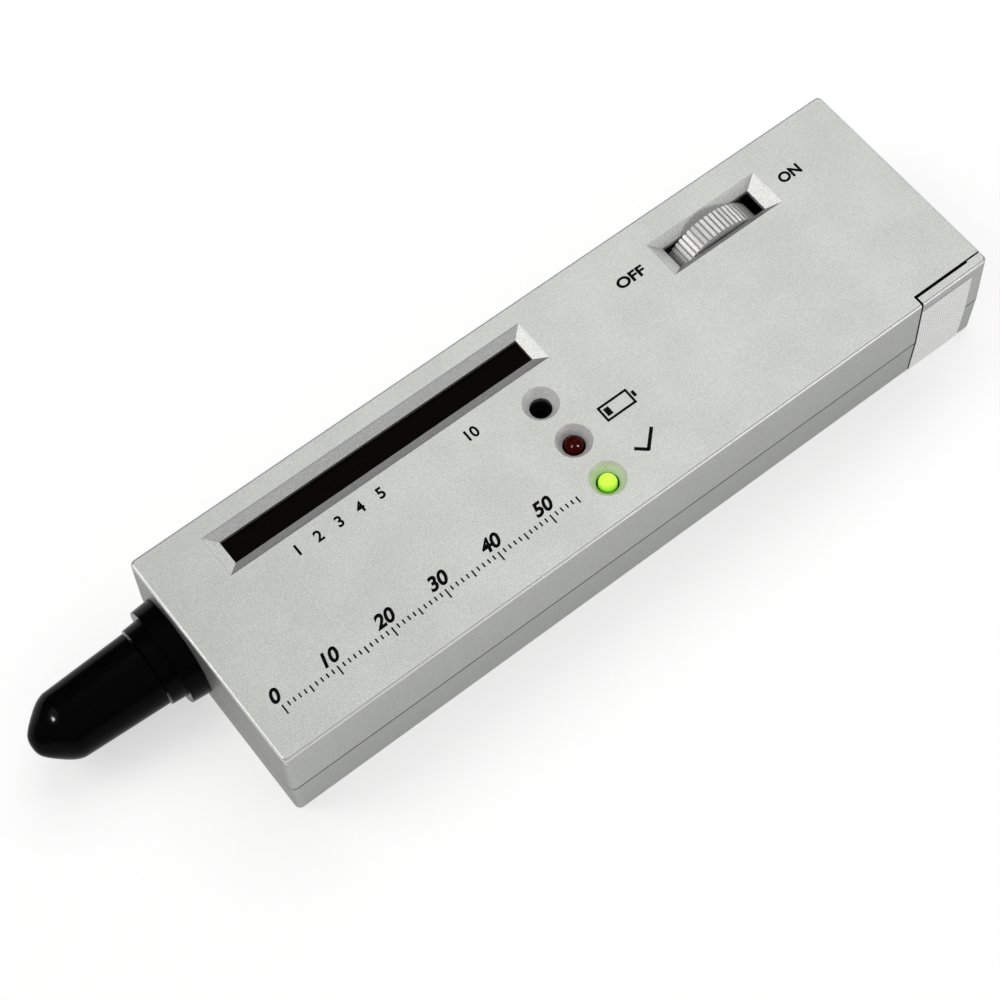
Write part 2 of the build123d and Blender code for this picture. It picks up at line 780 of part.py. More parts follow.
with BuildPart() as coil_winding:
    winding_low_z = board_top_z + coil_flange
    winding_high_z = coil_top_z - coil_flange
    rod([coil_place], winding_low_z, winding_high_z, coil_radius - coil_inset)
    rod([coil_place], winding_low_z, winding_high_z, coil_core_radius, Mode.SUBTRACT)
coil_winding.part.label = "coil_winding"
export_step(coil_winding.part, "parts/coil_winding.step")

# Row beside the window: trimmers that set the two thresholds, then resistors
trimmer_count = 2
trimmer_row_gap = 1.75
trimmer_side = eye_pitch - trimmer_row_gap
trimmer_height = 4.9
trimmer_rotor_share = 0.26
trimmer_rotor_radius = trimmer_rotor_share * trimmer_side
trimmer_slot_width = 0.6
trimmer_slot_depth = 0.6
resistor_count = 5
resistor_radius = 1.0
upper_widths = [trimmer_side] * trimmer_count + [2 * resistor_radius] * resistor_count
upper_places = row_places(row_tail_x, row_nose_x, upper_widths, sound_y + seat_gap)
trimmer_places = upper_places[:trimmer_count]
with BuildPart() as trimmers:
    with BuildSketch(Plane.XY.offset(board_top_z)):
        with Locations(*trimmer_places):
            Rectangle(trimmer_side, trimmer_side)
    extrude(amount=trimmer_height)
    rod(trimmer_places, board_top_z + trimmer_height - overcut / 2,
        board_top_z + trimmer_height + trimmer_slot_depth / 2, trimmer_rotor_radius)
    with BuildSketch(Plane.XY.offset(board_top_z + trimmer_height + trimmer_slot_depth / 2)):
        with Locations(*trimmer_places):
            Rectangle(2 * trimmer_rotor_radius, trimmer_slot_width)
    extrude(amount=-trimmer_slot_depth, mode=Mode.SUBTRACT)
trimmers.part.label = "trimmers"
export_step(trimmers.part, "parts/trimmers.step")

# Resistors lying across the board
resistor_row_gap = 0.75
resistor_end = 1.3
resistor_span = eye_pitch - resistor_row_gap
resistor_length = resistor_span - 2 * resistor_end
resistor_leg_radius = 0.25
resistor_lift = 0.2
resistor_z = board_top_z + resistor_lift + resistor_radius
resistor_places = upper_places[trimmer_count:]
with BuildPart() as resistors:
    for place_x, place_y in resistor_places:
        with BuildSketch(Plane.XZ.offset(-place_y - resistor_length / 2)):
            with Locations((place_x, resistor_z)):
                Circle(resistor_radius)
        extrude(amount=resistor_length)
        with BuildSketch(Plane.XZ.offset(-place_y - resistor_span / 2)):
            with Locations((place_x, resistor_z)):
                Circle(resistor_leg_radius)
        extrude(amount=resistor_span)
        leg_y = resistor_span / 2 - resistor_leg_radius
        ends = [(place_x, place_y - leg_y), (place_x, place_y + leg_y)]
        rod(ends, board_top_z, resistor_z, resistor_leg_radius)
resistors.part.label = "resistors"
export_step(resistors.part, "parts/resistors.step")

# Thumbwheel, with its ribs, web and hub
wheel_rim = 2.1
wheel_web = 1.4
wheel_hub_radius = 3.2
wheel_rib_depth = 0.45
wheel_rib_share = 0.62
hub_recess = (wheel_width - wheel_web) / 2 - seat_gap
screw_cap_radius = 1.7
hub_face_y = wheel_right_y + hub_recess
wheel_plane = Plane(origin=(wheel_x, wheel_right_y, wheel_z), x_dir=(1, 0, 0), z_dir=(0, 1, 0))
hub_plane = Plane(origin=(wheel_x, hub_face_y, wheel_z), x_dir=(1, 0, 0), z_dir=(0, 1, 0))
web_plane = Plane(origin=(wheel_x, wheel_y - wheel_web / 2, wheel_z), x_dir=(1, 0, 0), z_dir=(0, 1, 0))
rib_gap = 2 * math.pi * wheel_radius / wheel_teeth * (1 - wheel_rib_share)


def flatted_shaft(radius, flat_offset):
    """Draws a round shaft's section with one flat side."""
    Circle(radius)
    with Locations((0, flat_offset + radius)):
        Rectangle(2 * radius, 2 * radius, mode=Mode.SUBTRACT)


with BuildPart() as thumbwheel:
    with BuildSketch(wheel_plane):
        Circle(wheel_radius)
        Circle(wheel_radius - wheel_rim, mode=Mode.SUBTRACT)
    extrude(amount=wheel_width)
    with BuildSketch(web_plane):
        Circle(wheel_radius - wheel_rim / 2)
    extrude(amount=wheel_web)
    with BuildSketch(hub_plane):
        Circle(wheel_hub_radius)
    extrude(amount=wheel_width - hub_recess)
    with BuildSketch(hub_plane):
        flatted_shaft(shaft_radius + thread_gap, shaft_flat_offset + thread_gap)
    extrude(amount=wheel_width, mode=Mode.SUBTRACT)
    with BuildSketch(wheel_plane):
        with PolarLocations(wheel_radius, wheel_teeth):
            Rectangle(2 * wheel_rib_depth, rib_gap)
    extrude(amount=wheel_width, mode=Mode.SUBTRACT)
thumbwheel.part.label = "thumbwheel"
export_step(thumbwheel.part, "parts/thumbwheel.step")

# Shaft of the thumbwheel, running in the control
shaft_end_gap = 0.8
wheel_screw_radius = 0.6
wheel_screw_reach = 4.0
shaft_length = control_left_y - shaft_end_gap - hub_face_y
with BuildPart() as wheel_shaft:
    with BuildSketch(hub_plane):
        flatted_shaft(shaft_radius, shaft_flat_offset)
    extrude(amount=control_right_y - seat_gap - hub_face_y)
    with BuildSketch(hub_plane.offset(control_right_y - seat_gap - hub_face_y)):
        Circle(shaft_radius)
    extrude(amount=shaft_length - control_right_y + seat_gap + hub_face_y)
    with BuildSketch(hub_plane):
        Circle(wheel_screw_radius + thread_gap)
    extrude(amount=wheel_screw_reach + seat_gap, mode=Mode.SUBTRACT)
wheel_shaft.part.label = "wheel_shaft"
export_step(wheel_shaft.part, "parts/wheel_shaft.step")

# Screw that holds the wheel on its shaft
wheel_screw_head = 0.9
with BuildPart() as wheel_screw:
    with BuildSketch(hub_plane):
        Circle(wheel_screw_radius)
    extrude(amount=wheel_screw_reach)
    with BuildSketch(hub_plane):
        Circle(screw_cap_radius)
    extrude(amount=-wheel_screw_head)
    with BuildSketch(hub_plane.offset(-wheel_screw_head)):
        Rectangle(2 * screw_cap_radius, wheel_screw_radius)
    extrude(amount=wheel_screw_head / 2, mode=Mode.SUBTRACT)
wheel_screw.part.label = "wheel_screw"
export_step(wheel_screw.part, "parts/wheel_screw.step")

# Control that the wheel turns, seated on ribs of the bottom shell
control_mid_z = (control_bottom_z + control_top_z) / 2
control_plane = Plane(origin=(wheel_x, control_right_y, control_mid_z), x_dir=(1, 0, 0), z_dir=(0, 1, 0))
shaft_bore_plane = Plane(origin=(wheel_x, control_right_y, wheel_z), x_dir=(1, 0, 0), z_dir=(0, 1, 0))
with BuildPart() as wheel_control:
    with BuildSketch(control_plane):
        RectangleRounded(2 * control_half_length, control_height, control_round)
    extrude(amount=control_thickness)
    with BuildSketch(shaft_bore_plane):
        Circle(shaft_radius + slip_gap)
    extrude(amount=control_thickness - shaft_end_gap + seat_gap, mode=Mode.SUBTRACT)
wheel_control.part.label = "wheel_control"
export_step(wheel_control.part, "parts/wheel_control.step")

# Lugs of the control and the wires from them to the board
wire_bend = 1.5
wire_end_run = 0.05
lug_low_z = control_bottom_z + lug_first_rise + control_round / 2
lug_pitch = (board_bottom_z - wire_bend - wire_end_run - lug_low_z) / (lug_count - 1)
lug_z = [lug_low_z + index * lug_pitch for index in range(lug_count)]
with BuildPart() as control_lugs:
    for height in lug_z:
        block(
            (lug_nose_x, lug_y - lug_thickness / 2, height - lug_width / 2),
            (wheel_x - control_half_length, lug_y + lug_thickness / 2, height + lug_width / 2),
        )
control_lugs.part.label = "control_lugs"
export_step(control_lugs.part, "parts/control_lugs.step")


def wire(points, radius, bend):
    """Lays one round wire along straight runs joined by arcs, and returns its route's length."""
    with BuildLine() as route:
        FilletPolyline(*points, radius=bend)
    path = route.wires()[0]
    with BuildSketch(Plane(origin=path @ 0, z_dir=path % 0)) as section:
        Circle(radius)
    sweep(section.sketch, path=path)
    return path.length


wire_pitch = 1.3
wire_edge_inset = 2.0
with BuildPart() as control_wires:
    for index, height in enumerate(lug_z):
        end_x = board_tail_x - wire_edge_inset - (lug_count - 1 - index) * wire_pitch
        wire([(lug_nose_x, lug_y, height), (end_x, lug_y, height), (end_x, lug_y, board_bottom_z)],
             control_wire_radius, wire_bend)
control_wires.part.label = "control_wires"
export_step(control_wires.part, "parts/control_wires.step")

# Battery, its studs and the snap on them
with BuildPart() as battery:
    block(
        (battery_front_x, battery_right_y, floor_z),
        (battery_tail_x, battery_left_y, floor_z + battery_thickness),
    )
    fillet(battery.edges().filter_by(Axis.X), battery_edge_round)
battery.part.label = "battery"
export_step(battery.part, "parts/battery.step")

small_stud_radius = 2.85
crown_radius = 4.4
crown_wall = 0.5
crown_sides = 6
small_stud_y = battery_mid_y - stud_pitch / 2
crown_y = battery_mid_y + stud_pitch / 2
stud_plane = Plane(origin=(battery_front_x, 0, battery_mid_z), x_dir=(0, 1, 0), z_dir=(-1, 0, 0))
with BuildPart() as battery_studs:
    with BuildSketch(stud_plane):
        with Locations((small_stud_y, 0)):
            Circle(small_stud_radius)
        with Locations((crown_y, 0)):
            RegularPolygon(crown_radius, crown_sides)
            Circle(crown_radius * math.cos(math.pi / crown_sides) - crown_wall, mode=Mode.SUBTRACT)
    extrude(amount=stud_height)
battery_studs.part.label = "battery_studs"
export_step(battery_studs.part, "parts/battery_studs.step")

snap_round = 3.0
snap_plane = Plane(origin=(snap_face_x, battery_mid_y, battery_mid_z), x_dir=(0, 1, 0), z_dir=(-1, 0, 0))
with BuildPart() as battery_snap:
    with BuildSketch(snap_plane):
        RectangleRounded(snap_length, snap_width, snap_round)
    extrude(amount=snap_thickness)
battery_snap.part.label = "battery_snap"
export_step(battery_snap.part, "parts/battery_snap.step")

contact_wall = 1.1
contact_height = stud_height - 2 * seat_gap
knob_radius = crown_radius * math.cos(math.pi / crown_sides) - crown_wall - 2 * seat_gap
contact_plane = Plane(origin=(snap_face_x, 0, battery_mid_z), x_dir=(0, 1, 0), z_dir=(1, 0, 0))
with BuildPart() as snap_contacts:
    with BuildSketch(contact_plane):
        with Locations((small_stud_y, 0)):
            Circle(small_stud_radius + seat_gap + contact_wall)
            Circle(small_stud_radius + seat_gap, mode=Mode.SUBTRACT)
        with Locations((crown_y, 0)):
            Circle(knob_radius)
    extrude(amount=contact_height)
snap_contacts.part.label = "snap_contacts"
export_step(snap_contacts.part, "parts/snap_contacts.step")

# Leads from the snap to the board
lead_bend = 2.0
lead_pitch = 6.0
lead_end_inset = 6.0
with BuildPart() as red_lead:
    red_y = battery_mid_y + lead_pitch / 2
    red_end_x = board_tail_x - lead_end_inset
    red_length = wire([(snap_back_x, red_y, lead_z), (red_end_x, red_y, lead_z),
                       (red_end_x, red_y, board_bottom_z)], lead_radius, lead_bend)
red_lead.part.label = "red_lead"
export_step(red_lead.part, "parts/red_lead.step")

with BuildPart() as black_lead:
    black_y = battery_mid_y - lead_pitch / 2
    black_end_x = board_tail_x - lead_end_inset
    black_length = wire([(snap_back_x, black_y, lead_z), (black_end_x, black_y, lead_z),
                         (black_end_x, black_y, board_bottom_z)], lead_radius, lead_bend)
black_lead.part.label = "black_lead"
export_step(black_lead.part, "parts/black_lead.step")

# Probe bush, clamped by the nose walls of both shells
bush_wall = side_wall + seam_grow
neck_end = -bush_wall - seat_gap
inner_end = neck_end - bush_inner_flange_length
step_start = bush_flange_length
spigot_start = step_start + bush_step_length
spigot_end = spigot_start + bush_spigot_length
plug_radius = 2.55
plug_length = 3.5
tube_flange_radius = 2.0
tube_flange_length = 0.8
tube_shoulder = 1.5
spigot_chamfer = 0.4
with BuildPart() as probe_bush:
    turn([
        (inner_end, 0),
        (inner_end, bush_inner_flange_radius),
        (neck_end, bush_inner_flange_radius),
        (neck_end, bush_neck_radius),
        (slip_gap, bush_neck_radius),
        (slip_gap, bush_flange_radius),
        (step_start, bush_flange_end_radius),
        (step_start, bush_step_radius),
        (spigot_start, bush_step_end_radius),
        (spigot_start, bush_spigot_radius),
        (spigot_end - spigot_chamfer, bush_spigot_radius),
        (spigot_end, bush_spigot_radius - spigot_chamfer),
        (spigot_end, 0),
    ])
    turn([
        (inner_end - overcut, 0),
        (inner_end - overcut, tube_flange_radius + slip_gap),
        (tube_shoulder, tube_flange_radius + slip_gap),
        (tube_shoulder, tube_radius + slip_gap),
        (spigot_end - plug_length - seat_gap, tube_radius + slip_gap),
        (spigot_end - plug_length - seat_gap, plug_radius + slip_gap),
        (spigot_end + overcut, plug_radius + slip_gap),
        (spigot_end + overcut, 0),
    ], Mode.SUBTRACT)
probe_bush.part.label = "probe_bush"
export_step(probe_bush.part, "parts/probe_bush.step")

# Probe cone, pressed into the front of the bush
cone_length = 6.5
cone_base_radius = 4.4
cone_tip_radius = 1.9
cone_end = spigot_end + cone_length
with BuildPart() as probe_cone:
    turn([
        (spigot_end - plug_length, tube_radius + slip_gap),
        (spigot_end - plug_length, plug_radius),
        (spigot_end, plug_radius),
        (spigot_end, cone_base_radius),
        (cone_end, cone_tip_radius),
        (cone_end, tube_radius + slip_gap),
    ])
probe_cone.part.label = "probe_cone"
export_step(probe_cone.part, "parts/probe_cone.step")

# Tube that guides the needle
tube_end = cone_end + tube_stickout
tube_lip = 0.7
with BuildPart() as probe_tube:
    turn([
        (-tube_tail, tube_bore_radius),
        (-tube_tail, tube_radius),
        (tube_shoulder - tube_flange_length, tube_radius),
        (tube_shoulder - tube_flange_length, tube_flange_radius),
        (tube_shoulder, tube_flange_radius),
        (tube_shoulder, tube_radius),
        (tube_end, tube_radius),
        (tube_end, needle_radius + slip_gap),
        (tube_end - tube_lip, needle_radius + slip_gap),
        (tube_end - tube_lip, tube_bore_radius),
    ])
probe_tube.part.label = "probe_tube"
export_step(probe_tube.part, "parts/probe_tube.step")

# Needle, which slides in the tube
needle_body_length = 8.7
needle_point = 0.8
needle_point_radius = 0.15
needle_guide_radius = 0.35
needle_guide_length = needle_travel + overcut
needle_shoulder = tube_end - tube_lip - seat_gap
needle_rear = needle_shoulder - needle_body_length
needle_tip = tube_end + needle_stickout
with BuildPart() as probe_needle:
    turn([
        (needle_rear - needle_guide_length, 0),
        (needle_rear - needle_guide_length, needle_guide_radius),
        (needle_rear, needle_guide_radius),
        (needle_rear, needle_body_radius),
        (needle_shoulder, needle_body_radius),
        (needle_shoulder, needle_radius),
        (needle_tip - needle_point, needle_radius),
        (needle_tip, needle_point_radius),
        (needle_tip, 0),
    ])
probe_needle.part.label = "probe_needle"
export_step(probe_needle.part, "parts/probe_needle.step")

# Spring behind the needle
spring_rear = needle_rear - spring_length
spring_mean_radius = (tube_bore_radius + needle_guide_radius) / 2
spring_rise = spring_length - 2 * spring_wire_radius
spring_start_x = nose_face_x - spring_rear - spring_wire_radius
with BuildPart() as needle_spring:
    with BuildLine() as coil_path:
        Helix(spring_rise / spring_turns, spring_rise, spring_mean_radius,
              center=(spring_start_x, probe_y, probe_z), direction=(-1, 0, 0))
    with BuildSketch(Plane(origin=coil_path.line @ 0, z_dir=coil_path.line % 0)):
        Circle(spring_wire_radius)
    sweep(path=coil_path.line, is_frenet=True)
needle_spring.part.label = "needle_spring"
export_step(needle_spring.part, "parts/needle_spring.step")

# Plug at the tube's rear, with the cup that the probe wire is soldered to
cup_length = 1.8
with BuildPart() as tube_plug:
    turn([
        (spring_rear, 0),
        (spring_rear, tube_bore_radius - thread_gap),
        (-tube_tail, tube_bore_radius - thread_gap),
        (-tube_tail, tube_radius),
        (-tube_tail - cup_length, tube_radius),
        (-tube_tail - cup_length, 0),
    ])
tube_plug.part.label = "tube_plug"
export_step(tube_plug.part, "parts/tube_plug.step")

# Wire from the probe to the board
probe_wire_radius = 0.45
probe_wire_bend = 1.2
probe_wire_dip = 2.2
probe_wire_lead = 1.0
probe_wire_start_x = nose_face_x + tube_tail + cup_length
probe_wire_end_x = board_nose_screw_x + board_boss_radius
with BuildPart() as probe_wire:
    probe_wire_length = wire([
        (probe_wire_start_x, probe_y, probe_z),
        (probe_wire_start_x + probe_wire_lead, probe_y, probe_z),
        (probe_wire_start_x + 2 * probe_wire_lead, probe_y, probe_z - probe_wire_dip),
        (probe_wire_end_x, probe_y, probe_z - probe_wire_dip),
        (probe_wire_end_x, probe_y, board_bottom_z),
    ], probe_wire_radius, probe_wire_bend)
probe_wire.part.label = "probe_wire"
export_step(probe_wire.part, "parts/probe_wire.step")

# Touch plate under the case, with the tab that reaches inside
touch_low_z = seat_gap
with BuildPart() as touch_plate:
    block(
        (touch_plate_x - touch_plate_length / 2, -touch_plate_width / 2, touch_low_z),
        (touch_plate_x + touch_plate_length / 2, touch_plate_width / 2, touch_low_z + touch_plate_thickness),
    )
    block(
        (touch_plate_x - touch_tab_width / 2, -touch_plate_thickness / 2, touch_low_z),
        (touch_plate_x + touch_tab_width / 2, touch_plate_thickness / 2, floor_z + touch_tab_rise),
    )
touch_plate.part.label = "touch_plate"
export_step(touch_plate.part, "parts/touch_plate.step")

# Wire from the touch plate to the board
touch_wire_radius = 0.45
touch_wire_bend = 1.6
touch_wire_run = 7.0
touch_wire_low_z = floor_z + touch_tab_rise
touch_wire_mid_z = (touch_wire_low_z + board_bottom_z) / 2
with BuildPart() as touch_wire:
    touch_wire_length = wire([
        (touch_plate_x, 0, touch_wire_low_z),
        (touch_plate_x, 0, touch_wire_mid_z),
        (touch_plate_x + touch_wire_run, 0, touch_wire_mid_z),
        (touch_plate_x + touch_wire_run, 0, board_bottom_z),
    ], touch_wire_radius, touch_wire_bend)
touch_wire.part.label = "touch_wire"
export_step(touch_wire.part, "parts/touch_wire.step")

# Protective cap, pushed over the bush's spigot
cap_gap = 0.3
cap_base_radius = 6.5
cap_shoulder_radius = 5.88
cap_shoulder_run = 14.9
cap_nose_run = 5.9
cap_nose_run_shares = (0.53, 0.88)
cap_nose_radius_shares = (0.71, 0.38)
cap_hollow_radius = 4.75
cap_hollow_end_radius = 1.2
cap_tip_wall = 1.5
cap_base = spigot_start + cap_gap
cap_shoulder = cap_base + cap_shoulder_run
cap_tip = cap_shoulder + cap_nose_run
cap_nose_points = [
    (cap_shoulder + run * cap_nose_run, share * cap_shoulder_radius)
    for run, share in zip(cap_nose_run_shares, cap_nose_radius_shares)
]
with BuildPart() as protective_cap:
    with BuildSketch(probe_plane):
        with BuildLine():
            Line((cap_base, 0), (cap_base, cap_base_radius))
            Line((cap_base, cap_base_radius), (cap_shoulder, cap_shoulder_radius))
            Spline(
                (cap_shoulder, cap_shoulder_radius),
                *cap_nose_points,
                (cap_tip, 0),
                tangents=((cap_nose_run, cap_hollow_radius - cap_shoulder_radius), (0, -cap_shoulder_radius)),
            )
            Line((cap_tip, 0), (cap_base, 0))
        make_face()
    revolve(axis=probe_axis)
    turn([
        (cap_base - overcut, 0),
        (cap_base - overcut, bush_spigot_radius + slip_gap),
        (spigot_end + overcut, bush_spigot_radius + slip_gap),
        (spigot_end + overcut, cap_hollow_radius),
        (cap_shoulder, cap_hollow_radius),
        (cap_tip - cap_tip_wall, cap_hollow_end_radius),
        (cap_tip - cap_tip_wall, 0),
    ], Mode.SUBTRACT)
protective_cap.part.label = "protective_cap"
export_step(protective_cap.part, "parts/protective_cap.step")

wires = (
    ("red_lead", red_lead, lead_radius, red_length, lead_bend),
    ("black_lead", black_lead, lead_radius, black_length, lead_bend),
    ("probe_wire", probe_wire, probe_wire_radius, probe_wire_length, probe_wire_bend),
    ("touch_wire", touch_wire, touch_wire_radius, touch_wire_length, touch_wire_bend),
)
for name, piece, radius, length, bend in wires:
    expected = math.pi * radius ** 2 * length
    print(f"{name}: volume {piece.part.volume:.3f}, section times length {expected:.3f}, bend {bend}")
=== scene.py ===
"""Looks of a hand-held stone tester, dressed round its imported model.

Every length is in metres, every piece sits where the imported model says, and +Z is up.
"""

import logging
import math
from dataclasses import dataclass, field
from enum import Enum

import bmesh
import bpy
from mathutils import Matrix, Vector


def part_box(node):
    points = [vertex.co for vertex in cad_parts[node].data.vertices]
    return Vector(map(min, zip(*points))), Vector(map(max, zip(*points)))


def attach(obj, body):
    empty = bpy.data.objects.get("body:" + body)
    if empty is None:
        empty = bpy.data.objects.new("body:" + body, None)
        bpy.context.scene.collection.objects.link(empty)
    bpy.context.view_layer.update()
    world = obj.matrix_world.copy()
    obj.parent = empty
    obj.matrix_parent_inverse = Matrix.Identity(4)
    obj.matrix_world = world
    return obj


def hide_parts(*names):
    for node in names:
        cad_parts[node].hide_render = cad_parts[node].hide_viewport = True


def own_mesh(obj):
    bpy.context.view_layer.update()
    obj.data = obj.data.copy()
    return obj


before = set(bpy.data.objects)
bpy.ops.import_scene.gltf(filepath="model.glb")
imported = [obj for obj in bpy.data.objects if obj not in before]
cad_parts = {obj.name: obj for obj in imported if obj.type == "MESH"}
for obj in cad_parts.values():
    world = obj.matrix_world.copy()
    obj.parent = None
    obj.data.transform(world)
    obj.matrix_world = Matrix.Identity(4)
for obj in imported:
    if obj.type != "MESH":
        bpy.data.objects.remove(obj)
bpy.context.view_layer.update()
log = logging.getLogger("tester")

MM = 0.001
Colour = tuple[float, float, float]
Point = tuple[float, float, float]
FlatPoint = tuple[float, float]
Socket = bpy.types.NodeSocket


class Effect(Enum):
    """The shared surface effects, each one node group."""

    SPECKLE = "speckle"
    SKIN = "skin"
    SPOT = "spot"


class Slot(Enum):
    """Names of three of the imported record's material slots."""

    SILVER = "silver_case"
    PRINT = "black_holder"
    STEEL = "steel"


class Graph:
    """Short calls that add nodes to a shader tree and join them."""

    def __init__(self, tree: bpy.types.NodeTree) -> None:
        """Takes the tree and empties it."""
        self.tree = tree
        self.place: Socket | None = None
        tree.nodes.clear()

    def find_place(self) -> None:
        """Adds the Object coordinates, which a finish's masks read."""
        self.place = self.add("ShaderNodeTexCoord", out="Object")

    def plug(self, made: bpy.types.Node, plugs: dict) -> None:
        """Fills a node's inputs.

        Args:
            made: The node.
            plugs: Input name or number to a socket that is joined, or a value that is written.
        """
        for socket, value in plugs.items():
            if isinstance(value, bpy.types.NodeSocket):
                self.tree.links.new(value, made.inputs[socket])
            else:
                made.inputs[socket].default_value = value

    def add(self, kind: str, plugs: dict | None = None, out: str | int = 0, **settings: object) -> Socket:
        """Adds one node.

        Args:
            kind: The node's type.
            plugs: What goes into its inputs, as for plug.
            out: The output that is wanted.
            settings: Properties of the node.

        Returns:
            The wanted output.
        """
        made = self.tree.nodes.new(kind)
        for name, value in settings.items():
            setattr(made, name, value)
        self.plug(made, plugs or {})
        return made.outputs[out]

    def effect(self, kind: Effect, plugs: dict, *outs: str) -> list[Socket]:
        """Adds a shared effect.

        Args:
            kind: Which effect.
            plugs: What goes into its inputs, as for plug.
            outs: Names of the outputs that are wanted.

        Returns:
            The wanted outputs, in order.
        """
        made = self.tree.nodes.new("ShaderNodeGroup")
        made.node_tree = effect_group(kind)
        self.plug(made, plugs)
        return [made.outputs[name] for name in outs]

    def math(self, operation: str, *values: object, clamp: bool = False) -> Socket:
        """Adds a Math node on the given sockets or numbers and returns its output."""
        return self.add("ShaderNodeMath", dict(enumerate(values)), operation=operation, use_clamp=clamp)

    def vector(self, operation: str, *values: object, out: str | int = 0) -> Socket:
        """Adds a Vector Math node on the given sockets or points and returns its output."""
        return self.add("ShaderNodeVectorMath", dict(enumerate(values)), out=out, operation=operation)

    def axes(self, vector: Socket | None = None) -> list[Socket]:
        """Splits a vector.

        Args:
            vector: The vector, or none for the place.

        Returns:
            Its X, Y and Z parts.
        """
        made = self.tree.nodes.new("ShaderNodeSeparateXYZ")
        self.tree.links.new(self.place if vector is None else vector, made.inputs[0])
        return list(made.outputs)

    def band(self, value: Socket, centre: float, half: float) -> Socket:
        """Returns a mask that is 1 where value lies within half of centre."""
        return self.math("COMPARE", value, centre, half)

    def every(self, first: Socket, *others: Socket) -> Socket:
        """Joins masks.

        Args:
            first: One mask.
            others: The rest.

        Returns:
            A mask that is 1 where all of them are.
        """
        for other in others:
            first = self.math("MULTIPLY", first, other)
        return first

    def outside(self, mask: Socket) -> Socket:
        """Returns the mask turned round, 1 where it is 0."""
        return self.math("SUBTRACT", 1.0, mask)

    def repeat(self, value: Socket, start: float, pitch: float) -> Socket:
        """Returns the way from the nearest of evenly spaced places, one of which is start."""
        return self.math("WRAP", self.math("SUBTRACT", value, start), pitch / 2, -pitch / 2)

    def wave(self, value: Socket, pitch: float) -> Socket:
        """Returns a sine wave of the given pitch along a value."""
        return self.math("SINE", self.math("MULTIPLY", value, 2 * math.pi / pitch))

    def spot(self, centre: Point, weights: Point, radius: float, softness: float) -> Socket:
        """Returns a round mask about a point; a weight of 0 drops its axis."""
        plugs = {"Centre": centre, "Weights": weights, "Radius": radius, "Softness": softness}
        return self.effect(Effect.SPOT, {"Vector": self.place, **plugs}, "Mask")[0]

    def skin(self, box: tuple[Point, Point], softness: float, out: str) -> Socket:
        """Returns the Inside or Edge mask of a box, given by its two corners."""
        plugs = {"Vector": self.place, "Low": box[0], "High": box[1], "Softness": softness}
        return self.effect(Effect.SKIN, plugs, out)[0]

    def mix(self, mask: object, low: object, high: object) -> Socket:
        """Blends two colours, from low where mask is 0 to high where it is 1."""
        plugs = {0: mask, 6: rgba(low), 7: rgba(high)}
        return self.add("ShaderNodeMix", plugs, out=2, data_type="RGBA")

    def blend(self, mask: object, low: object, high: object) -> Socket:
        """Blends two numbers, from low where mask is 0 to high where it is 1."""
        return self.add("ShaderNodeMix", {0: mask, 2: low, 3: high}, data_type="FLOAT")


def rgba(colour: object) -> object:
    """Gives a plain colour its alpha and leaves a socket as it is."""
    return colour if isinstance(colour, bpy.types.NodeSocket) else (*colour, 1.0)


def effect_group(kind: Effect) -> bpy.types.NodeTree:
    """Returns the node group of a shared effect, built at its first use.

    Args:
        kind: Which effect.

    Returns:
        The node group.
    """
    if kind.value in bpy.data.node_groups:
        return bpy.data.node_groups[kind.value]
    tree = bpy.data.node_groups.new(kind.value, "ShaderNodeTree")
    builders = {Effect.SPECKLE: build_speckle, Effect.SKIN: build_skin, Effect.SPOT: build_spot}
    builders[kind](Graph(tree))
    return tree


def open_sockets(tree: bpy.types.NodeTree, inputs: dict[str, str], outputs: tuple[str, ...]) -> tuple:
    """Makes a group's sockets.

    Args:
        tree: The group.
        inputs: Input name to "Vector" or "Float".
        outputs: Names of the outputs, all numbers.

    Returns:
        The group's input node and output node.
    """
    for name, kind in inputs.items():
        tree.interface.new_socket(name=name, in_out="INPUT", socket_type=f"NodeSocket{kind}")
    for name in outputs:
        tree.interface.new_socket(name=name, in_out="OUTPUT", socket_type="NodeSocketFloat")
    return tree.nodes.new("NodeGroupInput"), tree.nodes.new("NodeGroupOutput")


def build_speckle(graph: Graph) -> None:
    """Grain of a given size, and broad patches sixty times as large, both from 0 to 1.

    Args:
        graph: The calls that fill the group.
    """
    noise_low, noise_high = 0.28, 0.72
    start, end = open_sockets(graph.tree, {"Vector": "Vector", "Size": "Float"}, ("Fine", "Broad"))
    place = start.outputs["Vector"]
    scale = graph.math("DIVIDE", 1.0, start.outputs["Size"])
    for name, share, detail in (("Fine", 1.0, 1.5), ("Broad", 1 / 60, 2.0)):
        plugs = {"Vector": place, "Scale": graph.math("MULTIPLY", scale, share), "Detail": detail}
        plugs = {0: graph.add("ShaderNodeTexNoise", plugs), 1: noise_low, 2: noise_high}
        spread = graph.add("ShaderNodeMapRange", plugs, interpolation_type="SMOOTHSTEP")
        graph.tree.links.new(spread, end.inputs[name])


